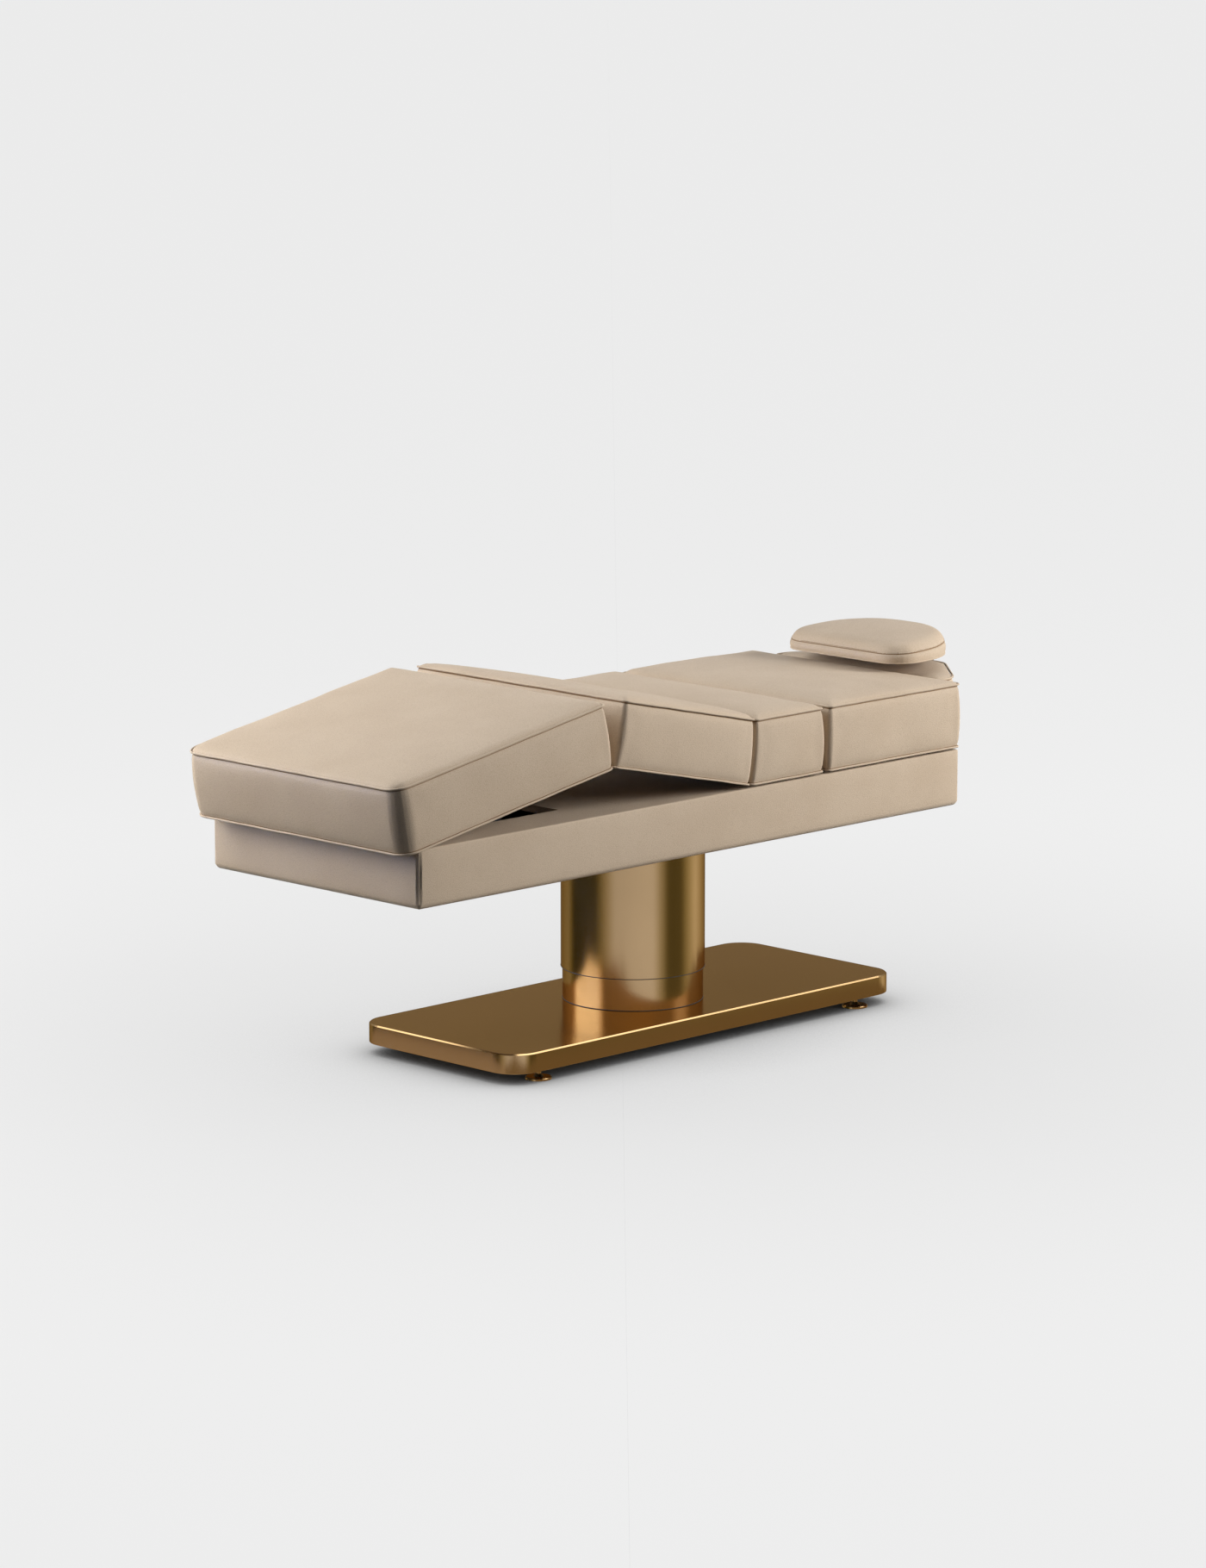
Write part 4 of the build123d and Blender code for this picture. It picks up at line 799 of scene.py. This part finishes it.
def outline_shell(name, line, under, top, cell):
    """Closed upright form over an outline, with a grid of cells on its faces."""
    piece = new_piece(name, [(x, y, under) for x, y in line], [tuple(range(len(line)))])
    edit(piece)
    bpy.ops.mesh.select_mode(type="FACE")
    bpy.ops.mesh.select_all(action="SELECT")
    bpy.ops.mesh.extrude_region_move(TRANSFORM_OT_translate={"value": (0, 0, top - under)})
    bpy.ops.mesh.select_all(action="SELECT")
    bpy.ops.mesh.normals_make_consistent(inside=False)
    bpy.ops.object.mode_set(mode="OBJECT")
    for axis, reach in enumerate(np.transpose(line)):
        slice_at(piece, axis, even_places(reach.min(), reach.max(), cell))
    return piece


def rounded_outline(side):
    """Closed outline, counter-clockwise, from its corners on one side of the bed and their radii."""
    corners = [(x, -y, radius) for x, y, radius in side] + side[::-1]
    line = []
    steps = 8
    for number, (x, y, radius) in enumerate(corners):
        here = Vector((x, y))
        before = (Vector(corners[number - 1][:2]) - here).normalized()
        after = (Vector(corners[(number + 1) % len(corners)][:2]) - here).normalized()
        half = before.angle(after) / 2
        reach = radius / math.tan(half)
        centre = here + (before + after).normalized() * (radius / math.sin(half))
        first = here + before * reach - centre
        sweep = first.angle_signed(here + after * reach - centre)
        for step in range(steps + 1):
            line.append(tuple(centre + Matrix.Rotation(-sweep * step / steps, 2) @ first))
    return line


def distance_to_outline(points, line):
    """Distance of each point, seen from above, to a closed outline, and the way out of it there."""
    start = np.array(line)
    flat = points[:, :2]
    best = np.full(len(flat), np.inf)
    way = np.zeros((len(flat), 2))
    for a, d in zip(start, np.roll(start, -1, axis=0) - start):
        length = d @ d
        t = np.clip(((flat - a) @ d) / length, 0, 1)
        gap = np.hypot(*(flat - (a + t[:, None] * d)).T)
        nearer = gap < best
        best[nearer] = gap[nearer]
        way[nearer] = np.array([d[1], -d[0]]) / math.sqrt(length)
    return best, way


# Helpers for the studio

# Rings of light that only reflections see: heading in degrees, brightness, and how cool the light is, or warm
# below 0. The low ring shows in upright metal, the high one in the top of the plate and so in the lower sleeve.
low_ring = (
    (100, 0.27, -0.3), (117, 0.03, -0.65), (164, 0.035, -0.65), (196, 0.51, 0.1), (258, 0.58, 0.1),
    (283, 0.08, -0.5), (308, 0.09, -0.5), (342, 0.62, -0.1), (360, 0.48, -0.1), (390, 0.25, -0.2))
high_ring = (
    (75, 0.265, 0.15), (112, 0.5, 0), (122, 2.8, 1.8), (166, 2.8, 1.8), (177, 0.30, 0), (205, 0.33, -0.1),
    (228, 0.37, -0.25), (252, 0.37, -0.25), (264, 0.30, 0), (290, 0.33, 0), (304, 1.1, 0.9), (318, 1.0, 0.7),
    (330, 0.27, 0), (360, 0.265, 0.15))


def add_floor(look):
    """Wide pale floor that keeps the shadow: the lamps' own shadow in a small share of its colour, and painted shade
    in its glow from ambient occlusion and a darkening towards the middle of the floor.
    """
    floor = added(bpy.ops.mesh.primitive_plane_add, size=look.floor_size)
    floor.name = "studio_floor"
    material, tree, shader, place = new_material("pale_floor")
    seen = rays_that_see(tree)
    wide, close = (
        add_node(tree, "ShaderNodeAmbientOcclusion", {"Distance": reach}, samples=samples).outputs["AO"]
        for reach, samples in ((2.2, 4), (0.45, 5)))
    soft = spread_out(tree, wide, 0.0, 1.0, look.wide_shadow)
    tight = maths(tree, "POWER", spread_out(tree, close, 0.16, 1.0), look.contact_shadow)
    reach = add_node(tree, "ShaderNodeVectorMath", {0: place}, operation="LENGTH").outputs["Value"]
    fall = spread_out(tree, reach, 0.0, 3.6, 1.0 - look.wide_shade, interpolation_type="SMOOTHERSTEP")
    level = 1.0 - 0.3 * look.floor_light
    for part in (soft, tight, fall, seen):
        level = maths(tree, "MULTIPLY", part, level)
    glow = add_node(tree, "ShaderNodeEmission", {"Color": (*look.floor_colour, 1), "Strength": level})
    lit = blend_colours(tree, seen, 0.10 * look.floor_colour, look.floor_light * look.floor_colour)
    matt = add_node(tree, "ShaderNodeBsdfDiffuse", {"Color": lit})
    both = add_node(tree, "ShaderNodeAddShader", {0: matt.outputs[0], 1: glow.outputs[0]})
    feed(tree, tree.nodes["Material Output"], {"Surface": both.outputs[0]})
    floor.data.materials.append(material)
    floor.visible_glossy = False


def add_backdrop(look):
    """World: pale to the camera and in reflections, dim for light."""
    world = bpy.data.worlds.new("studio_light")
    bpy.context.scene.world = world
    world.use_nodes = True
    tree = world.node_tree
    tree.nodes.clear()
    seen = rays_that_see(tree)
    far = add_node(tree, "ShaderNodeBackground", {"Color": (*look.floor_colour, 1), "Strength": 1.0})
    way = tree.nodes.new("ShaderNodeTexCoord").outputs["Generated"]
    to_camera = (-0.707, -0.707, 0)
    side = add_node(tree, "ShaderNodeVectorMath", {0: way, 1: to_camera}, operation="DOT_PRODUCT")
    even = spread_out(tree, side.outputs["Value"], -0.4, 0.8, 1.55 * look.ambient_level, 0.1 * look.ambient_level)
    near = add_node(tree, "ShaderNodeBackground", {"Color": (1, 0.95, 0.88, 1), "Strength": even})
    mix = add_node(tree, "ShaderNodeMixShader", {0: seen, 1: near.outputs[0], 2: far.outputs[0]})
    add_node(tree, "ShaderNodeOutputWorld", {"Surface": mix.outputs[0]})


def add_ring(name, stops, foot, head):
    """Ring of light round the bed, its brightness running from stop to stop."""
    reach = 9.0
    steps = 180
    turns = np.linspace(stops[0][0], stops[0][0] + 360, steps + 1)
    places = [(reach * math.cos(turn), reach * math.sin(turn), height)
              for height in (foot, head) for turn in np.radians(turns)]
    faces = [(k, k + 1, k + steps + 2, k + steps + 1) for k in range(steps)]
    ring = new_piece(name, places, faces)
    headings = [stop[0] for stop in stops] + [stops[0][0] + 360]
    bright, cool = (np.interp(turns, headings, [stop[k] for stop in stops] + [stops[0][k]]) for k in (1, 2))
    tint = np.stack([bright, bright * (1 + 0.3 * cool), bright * (1 + 1.4 * cool), np.ones(len(turns))], axis=1)
    shades = ring.data.color_attributes.new("level", "FLOAT_COLOR", "POINT")
    shades.data.foreach_set("color", np.concatenate([tint, tint]).ravel())
    make_glow(ring, None, 1.0)


def add_card(name, low, high, colour, level):
    """Level card that glows only for reflections: the two low ones show in the sides of the plate, the top one in its
    bevels.
    """
    card = added(bpy.ops.mesh.primitive_plane_add, size=1, location=[(a + b) / 2 for a, b in zip(low, high)])
    card.scale = (high[0] - low[0], high[1] - low[1], 1)
    make_glow(settle(card, name), colour, level)


def make_glow(card, colour, level):
    """Turns a piece into a light that only reflections see, of one colour or of its own shades."""
    material, tree = new_material(card.name)[:2]
    if colour is None:
        shade = add_node(tree, "ShaderNodeVertexColor", layer_name="level").outputs["Color"]
    else:
        shade = (*colour, 1)
    glow = add_node(tree, "ShaderNodeEmission", {"Color": shade, "Strength": level})
    feed(tree, tree.nodes["Material Output"], {"Surface": glow.outputs[0]})
    card.data.materials.append(material)
    for ray in ("camera", "diffuse", "transmission", "volume_scatter", "shadow"):
        setattr(card, "visible_" + ray, False)


# Operators

class BED_OT_stage(bpy.types.Operator):
    """Floor, backdrop, camera and soft studio light"""
    bl_idname = "bed.stage"
    bl_label = "Studio"

    def execute(self, context):
        look = context.scene.bed_stage
        context.scene.view_settings.view_transform = "Standard"
        add_floor(look)
        add_backdrop(look)
        for name, place, size, power in (
                ("left_lamp", (-2.86, 2.86, 1.75), 2.0, look.left_power),
                ("right_lamp", (5.1, -4.75, 2.7), 3.6, look.right_power),
                ("foot_lamp", (-2.2, 1.9, 3.1), 2.4, look.foot_power)):
            lamp = added(bpy.ops.object.light_add, type="AREA", location=place)
            lamp.name = name
            lamp.data.energy = power
            lamp.data.shape = "DISK"
            lamp.data.size = size
            aim = Vector(place) - Vector((0, 0, 0.5))
            lamp.rotation_euler = aim.to_track_quat("Z", "Y").to_euler()
            lamp.visible_glossy = False
        add_ring("low_ring", low_ring, -6.0, 1.0)
        add_ring("high_ring", high_ring, 1.0, 2.6)
        add_ring("upper_ring", ((0, 0.35, 0),), 2.6, 7.0)
        plate_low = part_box("base_cover")[0]
        side = plate_low.y + 0.01
        end = plate_low.x + 0.01
        reach = 0.26
        add_card("side_card", (end - reach, side - reach, -0.01), (0.9, side, -0.01), (1.0, 0.73, 0.38), 0.175)
        add_card("end_card", (end - reach, side, -0.01), (end, 0.5, -0.01), (1.0, 0.82, 0.66), 0.31)
        add_card("top_card", (-9.0, -9.0, 7.0), (9.0, 9.0, 7.0), (1.0, 0.97, 0.92), 2.1)

        camera = added(bpy.ops.object.camera_add, location=look.camera_place,
                       rotation=(math.radians(90) - look.camera_pitch, 0, look.camera_heading))
        camera.name = "photo_camera"
        camera.data.lens = look.lens
        camera.data.sensor_width = 36.0
        camera.data.clip_end = 1000.0
        context.scene.camera = camera
        return {"FINISHED"}


class BED_OT_boxed_cushions(bpy.types.Operator):
    """Leg, thigh, seat and back cushions with their piping"""
    bl_idname = "bed.boxed_cushions"
    bl_label = "Boxed cushions"

    def execute(self, context):
        for number, section in enumerate(cushions):
            boxed_cushion(section, 1.0 + number)
        return {"FINISHED"}


class BED_OT_head_section(bpy.types.Operator):
    """Tapered cushion behind the back, with its piping"""
    bl_idname = "bed.head_section"
    bl_label = "Head section"

    def execute(self, context):
        look = context.scene.bed_cushions
        start, end = head_foot_x + middle_x, head_end_x + middle_x
        shoulder = start + (end - start) / 4
        top = head_under + head_height
        line = rounded_outline([
            (start, head_root_half, 0.012), (shoulder, head_root_half, head_corner),
            (end, head_tip_half, head_corner)])
        piece = outline_shell("head_section_upholstery", line, head_under, top, look.cell)
        slice_at(piece, 2, border_rows(head_under, top))
        upholster(piece, "head_section", line, line, head_under, top, crown=0.012, swell=0.007,
                  shares=(0.4, 1.0), seed=5.0, body="head_section")
        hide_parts("head_cushion")
        return {"FINISHED"}


class BED_OT_head_pillow(bpy.types.Operator):
    """Half-moon head pillow with its stitched seam"""
    bl_idname = "bed.head_pillow"
    bl_label = "Head pillow"

    def execute(self, context):
        line = half_moon()
        front = pillow_front_x + middle_x
        unit = 0.03
        top = pillow_under + unit
        piece = outline_shell("head_pillow_upholstery", line, pillow_under, top, cell=0.010)
        fold_level = 0.94
        slice_at(piece, 2, [pillow_under + share * unit for share in (0.08, 0.22, 0.4, 0.6, 0.8, fold_level)])
        points = vertices_of(piece)
        gap, way = distance_to_outline(points, line)
        at_top = points[:, 2] > top - tiny
        at_bottom = points[:, 2] < pillow_under + tiny
        seam = at_top & (gap < on_line)
        level = (points[:, 2] - pillow_under) / unit
        along = points[:, 0] - front
        points[:, 2] = pillow_under + pillow_band(along) * level
        beside = np.abs(level - fold_level) < 1e-3
        swell = np.where(at_top | at_bottom, 0.0, np.where(beside, -0.0012, side_swell(level, 0.0035)))
        points[:, :2] += way * swell[:, None]
        points[:, 2] += np.where(at_top, pillow_rise(gap, along), 0.0)
        set_points(piece, points)
        soften(piece, size=0.08, amount=0.0009, seed=7.0, seams=seam | at_bottom)
        hem = piping_along(piece, "head_pillow_hem", at_bottom & (gap < on_line), radius=0.0016,
                           outward=pushed_out(line, amount=0.0012, rise=0.0014))
        # Painted shade: the band between the top seam and the fold row gets the darker fold leather.
        finish_cushion(piece, seam | beside)
        parts = [piece, hem]
        for label, offset in (("lower", -0.0024), ("upper", 0.0024)):
            places = []
            for place, out, heading in along_line(line, pitch=0.0055):
                here = place[0] - front
                level = pillow_under + pillow_band(here) + offset
                spot, normal = piece.closest_point_on_mesh((*(place + 0.002 * out), level))[1:3]
                slope = (pillow_band(here + 0.001 * heading[0]) - pillow_band(here)) / 0.001
                places.append((spot + normal * 0.0002, Vector((*heading, slope))))
            parts.append(
                stitch_row("head_pillow_" + label + "_stitches", places, length=0.0040, radius=0.0006))
        for part in parts:
            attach(part, "pillow")
        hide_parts("head_pillow")
        return {"FINISHED"}


class BED_OT_column_rings(bpy.types.Operator):
    """Thin dark rings at the foot of the two column sleeves, painted shade for the shadow lines there"""
    bl_idname = "bed.column_rings"
    bl_label = "Column rings"

    def execute(self, context):
        for node, name, body, rise in (
                ("upper_column_sleeve", "upper_sleeve_shade_ring", "plinth", -0.0002),
                ("lower_column_sleeve", "lower_sleeve_shade_ring", "base", 0.0006)):
            low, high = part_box(node)
            middle = (low + high) / 2
            ring = added(
                bpy.ops.mesh.primitive_torus_add, location=(middle.x, middle.y, low.z + rise),
                major_radius=(high.x - low.x) / 2 - 0.0005, minor_radius=0.0012, major_segments=160, minor_segments=8)
            settle(ring, name)
            smooth(ring)
            # The black plastic rings are painted shade: dark lines in place of the shadow at the foot of each sleeve.
            dress(ring, "black_plastic")
            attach(ring, body)
        return {"FINISHED"}


class BED_OT_plinth(bpy.types.Operator):
    """Leather wrapped plinth under the cushions"""
    bl_idname = "bed.plinth"
    bl_label = "Plinth"

    def execute(self, context):
        low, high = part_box("plinth_casing")
        piece = added(bpy.ops.mesh.primitive_cube_add, size=1, location=(low + high) / 2)
        piece.scale = high - low
        settle(piece, "plinth_upholstery")
        edit(piece)
        # Upright edges, edges round the floor and edges round the top, with the width and steps of their rounding
        for wanted, width, steps in (
                (lambda foot, head: head - foot > 0.1, 0.011, 6),
                (lambda foot, head: head < low.z + tiny, 0.014, 6),
                (lambda foot, head: foot > high.z - tiny, 0.004, 4)):
            pick(piece, "EDGE", lambda edge: wanted(*sorted(vertex.co.z for vertex in edge.verts)))
            bpy.ops.mesh.bevel(offset=width, segments=steps, affect="EDGES")
        pick(piece, "FACE", lambda face: face.normal.z > 0.9 and abs(face.calc_center_median().y) < 0.1)
        wall, depth = 0.0142, 0.132
        bpy.ops.mesh.inset(thickness=wall)
        bpy.ops.mesh.extrude_region_move(TRANSFORM_OT_translate={"value": (0, 0, -depth)})
        bpy.ops.object.mode_set(mode="OBJECT")
        slice_at(piece, 0, even_places(low.x + 0.03, high.x - 0.03, 0.06))
        slice_at(piece, 1, even_places(low.y + 0.03, high.y - 0.03, 0.06))
        slice_at(piece, 2, even_places(low.z + 0.012, high.z - 0.006, 0.016))
        points = vertices_of(piece)
        middle, half = np.array((low + high) / 2), np.array((high - low) / 2)
        outwards = np.sign(points - middle)[:, :2]
        inside = (half - np.abs(points - middle))[:, :2]
        level = np.clip((points[:, 2] - low.z - 0.008) / (high.z - low.z - 0.012), 0, 1)
        swell = 0.0022 * np.sin(np.pi * level) ** 0.6
        points[:, :2] += np.where(inside < 0.0005, outwards * swell[:, None], 0)
        # Seam up each corner: a low ridge where the two sides meet
        inside = (half - np.abs(points - middle))[:, :2]
        ridge = (np.abs(inside[:, :1] - inside[:, 1:]) < 0.0004) & (inside[:, :1] < 0.0045) & (inside[:, :1] > -0.001)
        points[:, :2] += np.where(ridge, outwards * 0.0009, 0)
        set_points(piece, points)
        self.cut_column_hole(piece, low.z)
        smooth(piece)
        dress(piece, "leather_panel")
        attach(piece, "plinth")
        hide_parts("plinth_casing")
        return {"FINISHED"}

    def cut_column_hole(self, piece, height):
        """Round hole in the floor of the plinth, inside the sleeve, for the lifting tubes."""
        low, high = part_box("upper_column_sleeve")
        cutter = added(bpy.ops.mesh.primitive_cylinder_add, vertices=64, radius=0.120, depth=0.1,
                       location=((low.x + high.x) / 2, 0, height))
        hole = piece.modifiers.new("Column hole", "BOOLEAN")
        hole.object = cutter
        hole.operation = "DIFFERENCE"
        apply_modifiers(piece)
        bpy.data.objects.remove(cutter)


class BED_OT_finishes(bpy.types.Operator):
    """Finishes of the CAD pieces, from the record's slots"""
    bl_idname = "bed.finishes"
    bl_label = "Finishes"

    def execute(self, context):
        slots = {part["node"]: part["material_slot"] for part in frame["record"]["subparts"]}
        for name, obj in frame["nodes"].items():
            for holder in obj.material_slots:
                holder.material = finish_named(slots[name])
        return {"FINISHED"}


class BED_PT_looks(bpy.types.Panel):
    """Operators of the treatment bed"""
    bl_idname = "BED_PT_looks"
    bl_label = "Treatment bed"
    bl_space_type = "VIEW_3D"
    bl_region_type = "UI"
    bl_category = "Treatment bed"

    def draw(self, context):
        for operator in operators:
            self.layout.operator(operator.bl_idname)


settings = (
    (BedStageSettings, "bed_stage"),
    (BedLeatherSettings, "bed_leather"),
    (BedMetalSettings, "bed_metal"),
    (BedCushionSettings, "bed_cushions"),
)
operators = (BED_OT_stage, BED_OT_finishes, BED_OT_column_rings, BED_OT_plinth, BED_OT_boxed_cushions,
             BED_OT_head_section, BED_OT_head_pillow)


def register():
    for group, name in settings:
        bpy.utils.register_class(group)
        setattr(bpy.types.Scene, name, PointerProperty(type=group))
    for operator in operators:
        bpy.utils.register_class(operator)
    bpy.utils.register_class(BED_PT_looks)


def unregister():
    bpy.utils.unregister_class(BED_PT_looks)
    for operator in reversed(operators):
        bpy.utils.unregister_class(operator)
    for group, name in reversed(settings):
        delattr(bpy.types.Scene, name)
        bpy.utils.unregister_class(group)


def main():
    register()
    bpy.ops.bed.stage()
    bpy.ops.bed.finishes()
    bpy.ops.bed.column_rings()
    bpy.ops.bed.plinth()
    bpy.ops.bed.boxed_cushions()
    bpy.ops.bed.head_section()
    bpy.ops.bed.head_pillow()


if __name__ == "__main__":
    main()
